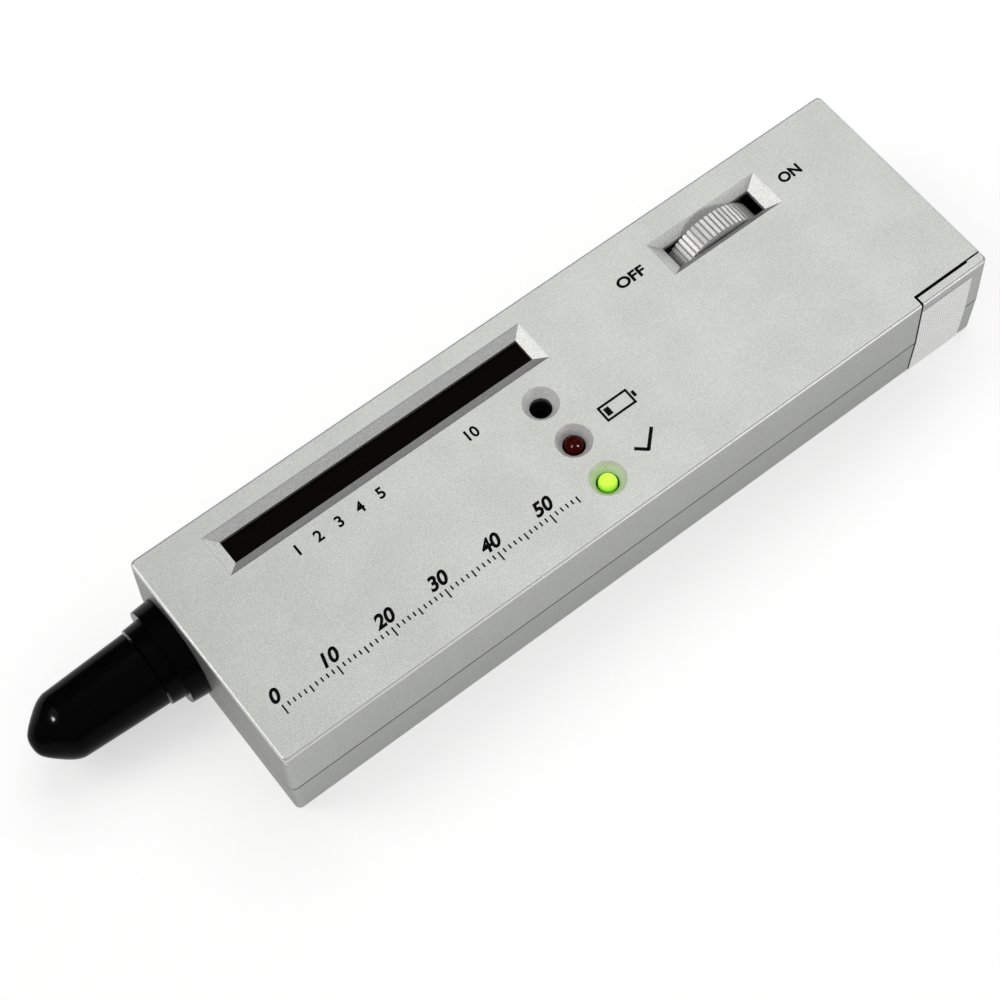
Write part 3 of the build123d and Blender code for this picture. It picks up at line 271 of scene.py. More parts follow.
def build_skin(graph: Graph) -> None:
    """Where a point lies in a box: 1 inside it, and 1 along the box's edges.

    Args:
        graph: The calls that fill the group.
    """
    kinds = {"Vector": "Vector", "Low": "Vector", "High": "Vector", "Softness": "Float"}
    start, end = open_sockets(graph.tree, kinds, ("Inside", "Edge"))
    past_low = graph.vector("SUBTRACT", start.outputs["Vector"], start.outputs["Low"])
    to_high = graph.vector("SUBTRACT", start.outputs["High"], start.outputs["Vector"])
    near = graph.axes(graph.vector("MINIMUM", past_low, to_high))
    least = graph.math("MINIMUM", near[0], graph.math("MINIMUM", near[1], near[2]))
    lesser, greater = graph.math("MINIMUM", near[0], near[1]), graph.math("MAXIMUM", near[0], near[1])
    middle = graph.math("MAXIMUM", lesser, graph.math("MINIMUM", greater, near[2]))
    soft = start.outputs["Softness"]
    graph.tree.links.new(graph.math("DIVIDE", least, soft, clamp=True), end.inputs["Inside"])
    away = graph.math("DIVIDE", graph.math("ABSOLUTE", middle), soft, clamp=True)
    graph.tree.links.new(graph.outside(away), end.inputs["Edge"])


def build_spot(graph: Graph) -> None:
    """A round mask about a point, with weights that can drop an axis, and a soft rim.

    Args:
        graph: The calls that fill the group.
    """
    kinds = dict.fromkeys(("Vector", "Centre", "Weights"), "Vector")
    kinds |= dict.fromkeys(("Radius", "Softness"), "Float")
    start, end = open_sockets(graph.tree, kinds, ("Mask",))
    away = graph.vector("SUBTRACT", start.outputs["Vector"], start.outputs["Centre"])
    length = graph.vector("LENGTH", graph.vector("MULTIPLY", away, start.outputs["Weights"]), out="Value")
    room = graph.math("SUBTRACT", start.outputs["Radius"], length)
    mask = graph.math("DIVIDE", room, start.outputs["Softness"], clamp=True)
    graph.tree.links.new(mask, end.inputs["Mask"])


@dataclass(frozen=True)
class Tone:
    """A second surface on a finish: its colour, roughness, and metallic where that is not the base's."""

    colour: Colour
    roughness: float = 0.5
    metallic: float | None = None


@dataclass(frozen=True)
class Layer:
    """A tone that shows where its mask is 1, in a mottled colour where that is given."""

    mask: Socket
    tone: Tone
    mottled: Socket | None = None


@dataclass(frozen=True)
class Finish:
    """A surface: its colour, gloss, grain and smudges, and the layers of its subclass.

    The flop is how bright the gloss stays where it is seen along the surface.
    """

    name: str
    colour: Colour
    metallic: float = 0.0
    roughness: float = 0.5
    grain: float = 0.25 * MM
    contrast: float = 0.08
    relief: float = 0.006 * MM
    smudge: float = 0.1
    stretch: Point = (1.0, 1.0, 1.0)
    specular: float = 0.5
    ior: float = 1.5
    transmission: float = 0.0
    flop: float = 1.0

    def layers(self, graph: Graph) -> list[Layer]:
        """Returns the layers over the base, none on a plain finish."""
        return []

    def extra(self, graph: Graph) -> dict:
        """Returns further plugs of the shader, none on a plain finish."""
        return {}

    def height(self, graph: Graph, fine: Socket) -> Socket:
        """Returns the height that is embossed, which is the grain alone on a plain finish."""
        return fine

    def material(self) -> bpy.types.Material:
        """Builds the material once.

        Returns:
            The material, from the first call or anew.
        """
        label = f"{self.name}_look"
        if label in bpy.data.materials:
            return bpy.data.materials[label]
        made = bpy.data.materials.new(label)
        made.use_nodes = True
        graph = Graph(made.node_tree)
        graph.find_place()
        drawn = graph.vector("MULTIPLY", graph.place, self.stretch)
        fine, broad = graph.effect(Effect.SPECKLE, {"Vector": drawn, "Size": self.grain}, "Fine", "Broad")
        darker = tuple(part * (1 - self.contrast) for part in self.colour)
        lighter = tuple(min(1.0, part * (1 + self.contrast)) for part in self.colour)
        colour = graph.mix(fine, darker, lighter)
        rough = graph.blend(broad, self.roughness * (1 - self.smudge), self.roughness * (1 + self.smudge))
        metal: object = self.metallic
        for layer in self.layers(graph):
            tone = layer.tone
            over = tone.colour if layer.mottled is None else layer.mottled
            colour = graph.mix(layer.mask, colour, over)
            rough = graph.blend(layer.mask, rough, tone.roughness)
            if tone.metallic is not None or isinstance(metal, bpy.types.NodeSocket):
                share = self.metallic if tone.metallic is None else tone.metallic
                metal = graph.blend(layer.mask, metal, share)
        height = self.height(graph, fine)
        bump = graph.add("ShaderNodeBump", {"Height": height, "Strength": 1.0, "Distance": self.relief})
        plugs = {"Base Color": colour, "Roughness": rough, "Metallic": metal, "Normal": bump}
        plugs |= {"Specular IOR Level": self.specular, "Transmission Weight": self.transmission}
        plugs |= {"IOR": self.ior, "Specular Tint": rgba((self.flop,) * 3)}
        shader = graph.add("ShaderNodeBsdfPrincipled", plugs | self.extra(graph))
        end = graph.tree.nodes.new("ShaderNodeOutputMaterial")
        graph.tree.links.new(shader, end.inputs["Surface"])
        return made


@dataclass(frozen=True)
class PaintedShell(Finish):
    """Silver paint outside, bare black moulding inside, and a painted highlight along the top edges.

    The round recesses are its eyes. The door's gap and the notch beside it get painted shade, a near-black
    band in the paint.
    """

    cavity: tuple[Point, Point] = ((-67.35 * MM, -18.85 * MM, 1.6 * MM), (67.35 * MM, 18.85 * MM, 18.5 * MM))
    cavity_softness: float = 0.04 * MM
    ceiling_z: float = 18.9 * MM
    ceiling_half: float = 0.6 * MM
    facing_down: float = -0.5
    outside: tuple[Point, Point] = ((-69.0 * MM, -20.5 * MM, 0.0), (69.0 * MM, 20.5 * MM, 21.0 * MM))
    edge_softness: float = 0.6 * MM
    # The painted highlight along the top edges stops short of the tail at this x.
    worn_to_x: float = 68.3 * MM
    sunk_z: float = 19.6 * MM
    sunk_half: Point = (66.0 * MM, 18.0 * MM, 1.3 * MM)
    # The parting seam's band of painted shade, fainter on the nose face past tight_to_x.
    seam_z: float = 9.5 * MM
    seam_half: float = 0.15 * MM
    tight_to_x: float = -68.7 * MM
    tight_share: float = 0.35
    gap_x: float = 55.15 * MM
    gap_half: float = 0.21 * MM
    gap_y: float = -18.5 * MM
    notch_y: float = -18.45 * MM
    notch_half: float = 0.1 * MM
    notch_z: tuple[float, float] = (17.1 * MM, 20.9 * MM)
    first_eye: FlatPoint = (-3.16 * MM, -13.48 * MM)
    eye_pitch: float = 8.35 * MM
    eye_radius: float = 3.05 * MM
    eye_floor: float = 19.3 * MM
    ring_pitch: float = 0.13 * MM
    ring_relief: float = 0.45
    flake_size: float = 0.13 * MM
    # Painted light, with flake grain: the recess slopes take a paler flaked silver, and the eyes' cones a
    # paler one still against their shade.
    sunk_tone: Tone = Tone((0.54, 0.55, 0.53), 0.4)
    sunk_flake: Colour = (0.9, 0.905, 0.88)
    eye_tone: Tone = Tone((0.66, 0.67, 0.65), 0.36, 0.3)
    eye_flake: Colour = (1.0, 1.0, 0.98)
    # Painted highlight: near-white silver along the top edges.
    worn_tone: Tone = Tone((0.95, 0.95, 0.94), 0.3)
    # Painted shade: the near-black of the door's gaps and the parting seam.
    dark_tone: Tone = Tone((0.004, 0.004, 0.004), 0.6, 0.0)
    bare_tone: Tone = Tone((0.018, 0.018, 0.018), 0.5, 0.0)

    def eyes(self, graph: Graph) -> tuple[Socket, Socket]:
        """Finds the three round recesses.

        Args:
            graph: The shader's graph.

        Returns:
            The distance from the nearest recess's axis, and a mask of the recesses.
        """
        x, y, z = graph.axes()
        first_x, first_y = self.first_eye
        beside = graph.repeat(y, first_y, self.eye_pitch)
        along = graph.math("SUBTRACT", x, first_x)
        squares = [graph.math("POWER", part, 2.0) for part in (along, beside)]
        radius = graph.math("SQRT", graph.math("ADD", *squares))
        near = graph.math("LESS_THAN", radius, self.eye_radius)
        high = graph.math("GREATER_THAN", z, self.eye_floor)
        row = graph.band(y, first_y + self.eye_pitch, 1.5 * self.eye_pitch)
        return radius, graph.every(near, high, row)

    def height(self, graph: Graph, fine: Socket) -> Socket:
        """Adds turned rings on the three round recesses.

        Args:
            graph: The shader's graph.
            fine: The grain.

        Returns:
            The grain with the rings.
        """
        radius, mask = self.eyes(graph)
        rings = graph.math("MULTIPLY", graph.wave(radius, self.ring_pitch), self.ring_relief)
        return graph.math("ADD", fine, graph.every(mask, rings))

    def bare(self, graph: Graph) -> Layer:
        """Makes the layer of bare moulding.

        Args:
            graph: The shader's graph.

        Returns:
            The layer, which covers the inside and its ceiling.
        """
        inside = graph.skin(self.cavity, self.cavity_softness, "Inside")
        normal_z = graph.axes(graph.add("ShaderNodeNewGeometry", out="Normal"))[2]
        down = graph.math("LESS_THAN", normal_z, self.facing_down)
        ceiling = graph.every(down, graph.band(graph.axes()[2], self.ceiling_z, self.ceiling_half))
        return Layer(graph.math("MAXIMUM", inside, ceiling), self.bare_tone)

    def slit(self, graph: Graph) -> Layer:
        """Makes the layer of painted shade in the slits round the door.

        Args:
            graph: The shader's graph.

        Returns:
            The layer, which paints shade onto the door's gap and the notch beside its lip.
        """
        x, y, z = graph.axes()
        # Painted shade: a near-black band across the side faces at the door's gap, and on the notch wall
        # beside its lip.
        gap = graph.every(graph.band(x, self.gap_x, self.gap_half), graph.math("LESS_THAN", y, self.gap_y))
        low, high = self.notch_z
        notch = graph.every(graph.band(y, self.notch_y, self.notch_half),
                            graph.band(z, (low + high) / 2, (high - low) / 2),
                            graph.math("GREATER_THAN", x, self.gap_x - self.gap_half))
        return Layer(graph.math("MAXIMUM", gap, notch), self.dark_tone)

    def layers(self, graph: Graph) -> list[Layer]:
        """Makes the shell's layers.

        Args:
            graph: The shader's graph.

        Returns:
            The recesses, paler and flaked with painted light, the painted edge highlight, the parting line's
            painted shade, the door's gaps' painted shade and the bare inside.
        """
        x, y, z = graph.axes()
        half_x, half_y, half_z = self.sunk_half
        # Painted light with flake grain: paler flaked silver on the recess slopes.
        sunk = graph.every(graph.band(z, self.sunk_z, half_z), graph.band(y, 0.0, half_y),
                           graph.band(x, 0.0, half_x))
        flake = graph.effect(Effect.SPECKLE, {"Vector": graph.place, "Size": self.flake_size}, "Fine")[0]
        recess = Layer(sunk, self.sunk_tone, graph.mix(flake, self.sunk_tone.colour, self.sunk_flake))
        # Painted light with flake grain: paler flaked silver lifting the shade in the eyes' cones.
        mask = self.eyes(graph)[1]
        eye = Layer(mask, self.eye_tone, graph.mix(flake, self.eye_tone.colour, self.eye_flake))
        # Painted highlight: a near-white band along the top edges, short of the tail.
        edge = graph.skin(self.outside, self.edge_softness, "Edge")
        above = graph.math("GREATER_THAN", z, self.eye_floor)
        edge_highlight = Layer(graph.every(above, graph.math("LESS_THAN", x, self.worn_to_x), edge), self.worn_tone)
        # Painted shade: a near-black band along the parting seam, fainter on the nose face.
        tight = graph.blend(graph.math("LESS_THAN", x, self.tight_to_x), 1.0, self.tight_share)
        parting = Layer(graph.every(graph.band(z, self.seam_z, self.seam_half), tight), self.dark_tone)
        return [recess, eye, edge_highlight, parting, self.slit(graph), self.bare(graph)]


@dataclass(frozen=True)
class PlatedWheel(Finish):
    """Bright plating on the rib crests, duller grooves darkened with painted shade between them, and pale
    sides.
    """

    centre: Point = (39.3 * MM, 0.0, 11.6 * MM)
    crest_radius: float = 9.2 * MM
    crest_softness: float = 0.12 * MM
    middle_y: float = 11.92 * MM
    rim_half: float = 1.9 * MM
    # Painted shade in the grooves between the ribs, which are also duller.
    groove_tone: Tone = Tone((0.6, 0.6, 0.6), 0.5)
    side_tone: Tone = Tone((0.68, 0.68, 0.67), 0.5, 0.15)

    def layers(self, graph: Graph) -> list[Layer]:
        """Makes the wheel's layers.

        Args:
            graph: The shader's graph.

        Returns:
            The grooves, duller and with painted shade, and the sides.
        """
        groove_shade = graph.spot(self.centre, (1.0, 0.0, 1.0), self.crest_radius, self.crest_softness)
        side = graph.outside(graph.band(graph.axes()[1], self.middle_y, self.rim_half))
        return [Layer(groove_shade, self.groove_tone), Layer(side, self.side_tone)]


@dataclass(frozen=True)
class GripBumps(Finish):
    """Silver bumps with painted shade in the grooves between them."""

    nose_x: float = 55.3 * MM
    low_z: float = 0.35 * MM
    pitch: tuple[float, float] = (0.53 * MM, 0.5286 * MM)
    groove_half: float = 0.075 * MM
    # Painted shade in the grooves between the bumps.
    groove_tone: Tone = Tone((0.72, 0.73, 0.72), 0.4)

    def layers(self, graph: Graph) -> list[Layer]:
        """Makes the grip's layer.

        Args:
            graph: The shader's graph.

        Returns:
            The grooves' painted shade.
        """
        x, _, z = graph.axes()
        # Painted shade: darker silver in the grooves between the bumps.
        lines = [graph.band(graph.repeat(value, start, pitch), 0.0, self.groove_half)
                 for value, start, pitch in ((x, self.nose_x, self.pitch[0]), (z, self.low_z, self.pitch[1]))]
        return [Layer(graph.math("MAXIMUM", *lines), self.groove_tone)]


@dataclass(frozen=True)
class LitLens(Finish):
    """A small dome that glows, yellower in the middle and dark at its foot."""

    centre: Point = (0.0, 0.0, 0.0)
    core: Colour = (0.9, 1.0, 0.08)
    rim: Colour = (0.2, 0.7, 0.03)
    foot: Colour = (0.03, 0.12, 0.004)
    core_radius: float = 1.6 * MM
    core_softness: float = 0.6 * MM
    foot_z: float = 19.4 * MM
    rise: float = 0.8 * MM
    strength: float = 0.5

    def extra(self, graph: Graph) -> dict:
        """Makes the glow.

        Args:
            graph: The shader's graph.

        Returns:
            The shader's plugs for it.
        """
        core = graph.spot(self.centre, (1.0, 1.0, 0.0), self.core_radius, self.core_softness)
        above = graph.math("SUBTRACT", graph.axes()[2], self.foot_z)
        top = graph.math("DIVIDE", above, self.rise, clamp=True)
        glow = graph.mix(top, self.foot, graph.mix(core, self.rim, self.core))
        return {"Emission Color": glow, "Emission Strength": self.strength}


@dataclass(frozen=True)
class Board(Finish):
    """Green mask with raised tracks that run in patches, and the board's bare cut edge."""

    middle_z: float = 11.2 * MM
    edge_half: float = 0.77 * MM
    track_pitch: float = 0.9 * MM
    track_level: float = 0.3
    patches_a_metre: float = 190.0
    track_tone: Tone = Tone((0.05, 0.3, 0.12), 0.3)
    edge_tone: Tone = Tone((0.42, 0.38, 0.2), 0.7)

    def layers(self, graph: Graph) -> list[Layer]:
        """Makes the board's layers.

        Args:
            graph: The shader's graph.

        Returns:
            The tracks and the bare edge.
        """
        x, y, z = graph.axes()
        plugs = {"Vector": graph.place, "Scale": self.patches_a_metre}
        patch = graph.add("ShaderNodeTexVoronoi", plugs, out="Color", distance="CHEBYCHEV")
        upright = graph.math("GREATER_THAN", graph.axes(patch)[0], 0.5)
        waves = [graph.wave(part, self.track_pitch) for part in (x, y)]
        track = graph.math("GREATER_THAN", graph.blend(upright, *waves), self.track_level)
        edge = graph.band(z, self.middle_z, self.edge_half)
        return [Layer(track, self.track_tone), Layer(edge, self.edge_tone)]


@dataclass(frozen=True)
class ChipBody(Finish):
    """Black moulded chips with a notch at one end and a dimple over the first pin."""

    notches: tuple[Point, ...] = ((-14.43 * MM, -5.13 * MM, 15.8 * MM), (-42.57 * MM, -5.13 * MM, 15.8 * MM))
    notch_radius: float = 0.9 * MM
    dimple_way: FlatPoint = (-1.3 * MM, 2.3 * MM)
    dimple_radius: float = 0.4 * MM
    softness: float = 0.06 * MM
    dent_tone: Tone = Tone((0.06, 0.06, 0.06), 0.25)

    def layers(self, graph: Graph) -> list[Layer]:
        """Makes the chips' layers.

        Args:
            graph: The shader's graph.

        Returns:
            The notch and the dimple of each chip.
        """
        made = []
        for x, y, z in self.notches:
            dimple = (x + self.dimple_way[0], y + self.dimple_way[1], z)
            for centre, radius in (((x, y, z), self.notch_radius), (dimple, self.dimple_radius)):
                dent = graph.spot(centre, (1.0, 1.0, 1.0), radius, self.softness)
                made.append(Layer(dent, self.dent_tone))
        return made


@dataclass(frozen=True)
class LeggedBody(Finish):
    """Black moulding that stands on tinned legs."""

    leg_top: float = 13.45 * MM
    leg_tone: Tone = Tone((0.62, 0.62, 0.6), 0.3, 0.9)

    def layers(self, graph: Graph) -> list[Layer]:
        """Returns the legs."""
        return [Layer(graph.math("LESS_THAN", graph.axes()[2], self.leg_top), self.leg_tone)]


@dataclass(frozen=True)
class Sleeve(Finish):
    """Dark sleeve with a pale stripe down one side, and a bare metal top."""

    first_x: float = -9.44 * MM
    pitch: float = 6.925 * MM
    front_y: float = -15.75 * MM
    stripe_half: float = 1.1 * MM
    top_z: float = 17.3 * MM
    stripe_tone: Tone = Tone((0.6, 0.62, 0.66), 0.4)
    top_tone: Tone = Tone((0.66, 0.66, 0.66), 0.35, 0.9)

    def layers(self, graph: Graph) -> list[Layer]:
        """Makes the sleeve's layers.

        Args:
            graph: The shader's graph.

        Returns:
            The stripe and the top.
        """
        x, y, z = graph.axes()
        front = graph.math("LESS_THAN", y, self.front_y)
        local = graph.repeat(x, self.first_x, self.pitch)
        stripe = graph.every(front, graph.band(local, 0.0, self.stripe_half))
        top = graph.math("GREATER_THAN", z, self.top_z)
        return [Layer(stripe, self.stripe_tone), Layer(top, self.top_tone)]


@dataclass(frozen=True)
class BandedBody(Finish):
    """Lacquered resistor bodies with four coloured bands, and their tinned leads."""

    row_y: float = 3.32 * MM
    body_half: float = 2.52 * MM
    band_half: float = 0.24 * MM
    bands: tuple[tuple[float, Colour], ...] = (
        (-1.7 * MM, (0.16, 0.06, 0.02)), (-0.85 * MM, (0.012, 0.012, 0.012)),
        (0.0, (0.6, 0.12, 0.01)), (1.6 * MM, (0.5, 0.34, 0.08)))
    band_roughness: float = 0.35
    lead_tone: Tone = Tone((0.62, 0.62, 0.6), 0.3, 0.9)

    def layers(self, graph: Graph) -> list[Layer]:
        """Makes the resistors' layers.

        Args:
            graph: The shader's graph.

        Returns:
            The bands and the leads.
        """
        y = graph.axes()[1]
        made = [Layer(graph.band(y, self.row_y + at, self.band_half), Tone(tint, self.band_roughness))
                for at, tint in self.bands]
        return [*made, Layer(graph.outside(graph.band(y, self.row_y, self.body_half)), self.lead_tone)]


@dataclass(frozen=True)
class TrimmerBody(Finish):
    """Blue blocks with a pale rotor on top."""

    rotor_floor: float = 16.93 * MM
    rotor_tone: Tone = Tone((0.7, 0.68, 0.6), 0.45)

    def layers(self, graph: Graph) -> list[Layer]:
        """Returns the rotors."""
        return [Layer(graph.math("GREATER_THAN", graph.axes()[2], self.rotor_floor), self.rotor_tone)]


@dataclass(frozen=True)
class Winding(Finish):
    """Enamelled turns that lie side by side, with painted shade in the dark lines between them."""

    wire: float = 0.3 * MM
    line_level: float = 0.75
    # Painted shade between the turns.
    line_tone: Tone = Tone((0.12, 0.04, 0.02), 0.6)

    def layers(self, graph: Graph) -> list[Layer]:
        """Returns the painted shade between the turns."""
        wave = graph.wave(graph.axes()[2], self.wire)
        return [Layer(graph.math("GREATER_THAN", wave, self.line_level), self.line_tone)]


@dataclass(frozen=True)
class Jacket(Finish):
    """Printed battery jacket with a pale line near the studs and crimped metal ends."""

    middle_x: float = 41.8 * MM
    half: float = 22.4 * MM
    line_x: float = 26.0 * MM
    line_half: float = 0.9 * MM
    line_tone: Tone = Tone((0.62, 0.63, 0.65), 0.35, 0.4)
    end_tone: Tone = Tone((0.6, 0.6, 0.6), 0.32, 0.9)

    def layers(self, graph: Graph) -> list[Layer]:
        """Makes the jacket's layers.

        Args:
            graph: The shader's graph.

        Returns:
            The line and the ends.
        """
        x = graph.axes()[0]
        ends = graph.outside(graph.band(x, self.middle_x, self.half))
        return [Layer(graph.band(x, self.line_x, self.line_half), self.line_tone), Layer(ends, self.end_tone)]


ALONG_X: Point = (0.03, 1.0, 1.0)
ROUND_X: Point = (1.0, 0.03, 0.03)

SILVER = PaintedShell("silver_paint", (0.58, 0.59, 0.565), metallic=0.82, roughness=0.34, grain=0.16 * MM,
                      contrast=0.14, relief=0.01 * MM, smudge=0.08, flop=0.35)
# Painted light: the grip's near-white silver, far paler than the case's, paints in light its bumps catch.
GRIP_SILVER = GripBumps("grip_silver", (0.99, 1.0, 0.98), metallic=0.85, roughness=0.36, grain=0.22 * MM,
                        contrast=0.12)
PRINT = Finish("black_print", (0.002, 0.002, 0.002), roughness=0.4, grain=0.12 * MM, contrast=0.3,
               specular=0.05)
GLOSS = Finish("black_gloss", (0.0015, 0.0015, 0.0016), roughness=0.14, grain=0.5 * MM, contrast=0.3,
               relief=0.001 * MM, smudge=0.35, specular=0.03)
MOULDED = Finish("black_moulding", (0.02, 0.02, 0.021), roughness=0.55, grain=0.15 * MM, contrast=0.25,
                 relief=0.01 * MM)
MATT = Finish("buzzer_case", (0.004, 0.004, 0.004), roughness=0.6, grain=0.15 * MM, contrast=0.3,
              specular=0.1)
TINNED = Finish("tinned_metal", (0.68, 0.68, 0.66), metallic=0.95, roughness=0.3, grain=0.3 * MM,
                contrast=0.12)
STEEL = Finish("zinc_steel", (0.56, 0.57, 0.58), metallic=0.95, roughness=0.32, grain=0.4 * MM, contrast=0.14)
BRASS = Finish("turned_brass", (0.7, 0.5, 0.2), metallic=0.95, roughness=0.28, grain=0.12 * MM, contrast=0.12,
               stretch=ROUND_X)
TURNED = Finish("turned_metal", (0.62, 0.6, 0.56), metallic=0.95, roughness=0.24, grain=0.1 * MM,
                contrast=0.14, stretch=ROUND_X)
BRUSHED = Finish("brushed_metal", (0.64, 0.64, 0.63), metallic=0.95, roughness=0.34, grain=0.15 * MM,
                 contrast=0.16, stretch=ALONG_X)
RED_SHEATH = Finish("red_sheath", (0.55, 0.03, 0.02), roughness=0.42, grain=0.3 * MM, contrast=0.15)
BLACK_SHEATH = Finish("black_sheath", (0.018, 0.018, 0.018), roughness=0.42, grain=0.3 * MM, contrast=0.3)
FOAM = Finish("open_foam", (0.07, 0.07, 0.075), roughness=0.95, grain=0.7 * MM, contrast=0.55,
              relief=0.25 * MM)
FERRITE = Finish("ferrite", (0.06, 0.06, 0.065), roughness=0.7, grain=0.2 * MM, contrast=0.3,
                 relief=0.02 * MM)
SMOKED = Finish("smoked_window", (0.004, 0.002, 0.0015), roughness=0.05, grain=0.6 * MM, contrast=0.2,
                relief=0.0005 * MM, specular=0.15, ior=1.1, transmission=0.4)
RED_BAR = Finish("red_bar_light", (0.3, 0.015, 0.015), roughness=0.3, grain=0.3 * MM, contrast=0.2)
RED_LENS = Finish("red_lens", (0.05, 0.001, 0.001), roughness=0.05, grain=0.4 * MM, contrast=0.25,
                  relief=0.0, specular=0.04)
GREEN_LENS = LitLens("green_lens", (0.42, 0.95, 0.05), roughness=0.15, grain=0.4 * MM, contrast=0.12,
                     relief=0.002 * MM, centre=(-3.16 * MM, -13.48 * MM, 0.0))
WHEEL = PlatedWheel("plated_wheel", (0.78, 0.78, 0.77), metallic=0.5, roughness=0.35, grain=0.3 * MM,
                    contrast=0.1)
MASK = Board("board_mask", (0.02, 0.19, 0.07), roughness=0.35, grain=0.3 * MM, contrast=0.12)
CHIP = ChipBody("chip_body", (0.025, 0.025, 0.026), roughness=0.5, grain=0.12 * MM, contrast=0.3)
LEGGED = LeggedBody("legged_body", (0.02, 0.02, 0.021), roughness=0.45, grain=0.15 * MM, contrast=0.3)
SLEEVE = Sleeve("capacitor_sleeve", (0.02, 0.04, 0.16), roughness=0.35, grain=0.4 * MM, contrast=0.15)
BANDED = BandedBody("resistor_body", (0.5, 0.37, 0.2), roughness=0.4, grain=0.3 * MM, contrast=0.12)
TRIMMER = TrimmerBody("trimmer_body", (0.03, 0.12, 0.5), roughness=0.3, grain=0.3 * MM, contrast=0.12)
COPPER = Winding("copper_winding", (0.62, 0.24, 0.1), metallic=0.85, roughness=0.3, grain=0.3 * MM)
JACKET = Jacket("battery_jacket", (0.05, 0.055, 0.075), metallic=0.3, roughness=0.38, grain=0.4 * MM,
                contrast=0.15)

WEARERS: dict[Finish, tuple[str, ...]] = {
    SILVER: ("top_shell", "bottom_shell", "battery_door"),
    GLOSS: ("probe_bush", "probe_cone", "protective_cap"),
    MOULDED: ("bar_light_holder", "wheel_control", "battery_snap"),
    MATT: ("buzzer",),
    TINNED: ("light_legs", "chip_pins", "control_lugs", "battery_studs", "snap_contacts"),
    STEEL: ("board_screws", "case_screws", "wheel_screw", "needle_spring"),
    BRASS: ("wheel_shaft", "tube_plug"),
    TURNED: ("probe_tube", "probe_needle"),
    RED_SHEATH: ("red_lead", "probe_wire"),
    BLACK_SHEATH: ("black_lead", "control_wires", "touch_wire"),
    CHIP: ("controller_chip", "amplifier_chip"),
    LEGGED: ("transistors", "voltage_regulator"),
    MASK: ("circuit_board",),
    SLEEVE: ("capacitors",),
    BANDED: ("resistors",),
    TRIMMER: ("trimmers",),
    FERRITE: ("coil_core",),
    COPPER: ("coil_winding",),
    JACKET: ("battery",),
    FOAM: ("battery_pad",),
    BRUSHED: ("touch_plate",),
    WHEEL: ("thumbwheel",),
    SMOKED: ("display_window",),
    RED_BAR: ("bar_lights",),
    RED_LENS: ("low_battery_light",),
    GREEN_LENS: ("ready_light",),
}
DRESS: dict[str, Finish] = {name: finish for finish, names in WEARERS.items() for name in names}


def dress_nodes() -> None:
    """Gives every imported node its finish."""
    for name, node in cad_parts.items():
        node.material_slots[0].material = DRESS[name].material()
        log.info("dressed %s as %s", name, DRESS[name].name)


def make_piece(name: str, mesh: bmesh.types.BMesh, finish: Finish, body: str) -> bpy.types.Object:
    """Turns a mesh into a piece that rides on a body.

    Args:
        name: The piece's name.
        mesh: Its shape, in place; freed here.
        finish: Its surface.
        body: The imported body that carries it.

    Returns:
        The new object.
    """
    data = bpy.data.meshes.new(name)
    mesh.to_mesh(data)
    mesh.free()
    data.materials.append(finish.material())
    piece = bpy.data.objects.new(name, data)
    bpy.context.scene.collection.objects.link(piece)
    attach(piece, body)
    log.info("made %s with %d faces", name, len(data.polygons))
    return piece


@dataclass
class DoorGrip:
    """The fine grid of bumps on the battery door's side face, which leans in away from the seam."""

    nose_x: float = 55.3 * MM
    tail_x: float = 65.9 * MM
    low_z: float = 0.35 * MM
    high_z: float = 18.85 * MM
    pitch: float = 0.53 * MM
    inset: float = 0.15 * MM
    height: float = 0.15 * MM
    skirt: float = 0.06 * MM
    sink: float = 0.01 * MM
    seam_z: float = 9.5 * MM
    seam_y: float = 20.801 * MM
    draft: float = math.radians(1.5)
    foot_round: float = 0.8 * MM

    def face_y(self, z: float) -> float:
        """Works out where the door's side face is.

        Args:
            z: Height above the foot.

        Returns:
            The face's y at that height.
        """
        y = self.seam_y - abs(z - self.seam_z) * math.tan(self.draft)
        if z < self.foot_round:
            y -= self.foot_round - math.sqrt(self.foot_round**2 - (self.foot_round - z) ** 2)
        return -y

    def build(self) -> bpy.types.Object:
        """Builds the grid.

        Returns:
            The piece.
        """
        length, rise = self.tail_x - self.nose_x, self.high_z - self.low_z
        middle = Vector(((self.nose_x + self.tail_x) / 2, 0.0, (self.low_z + self.high_z) / 2))
        spread = Matrix.Diagonal((length / 2, rise / 2, 1.0, 1.0))
        place = Matrix.Translation(middle) @ Matrix.Rotation(math.pi / 2, 4, "X") @ spread
        bm = bmesh.new()
        columns, rows = round(length / self.pitch), round(rise / self.pitch)
        bmesh.ops.create_grid(bm, x_segments=columns, y_segments=rows, size=1.0, matrix=place)
        bmesh.ops.inset_individual(bm, faces=bm.faces[:], thickness=self.inset, depth=self.height)
        rim = [edge for edge in bm.edges if edge.is_boundary]
        made = bmesh.ops.extrude_edge_only(bm, edges=rim)["geom"]
        inner = [part for part in made if isinstance(part, bmesh.types.BMVert)]
        bmesh.ops.translate(bm, verts=inner, vec=(0.0, self.skirt, 0.0))
        for vert in bm.verts:
            vert.co.y += self.face_y(vert.co.z) - self.sink
        bmesh.ops.recalc_face_normals(bm, faces=bm.faces[:])
        return make_piece("door_grip", bm, GRIP_SILVER, "door")


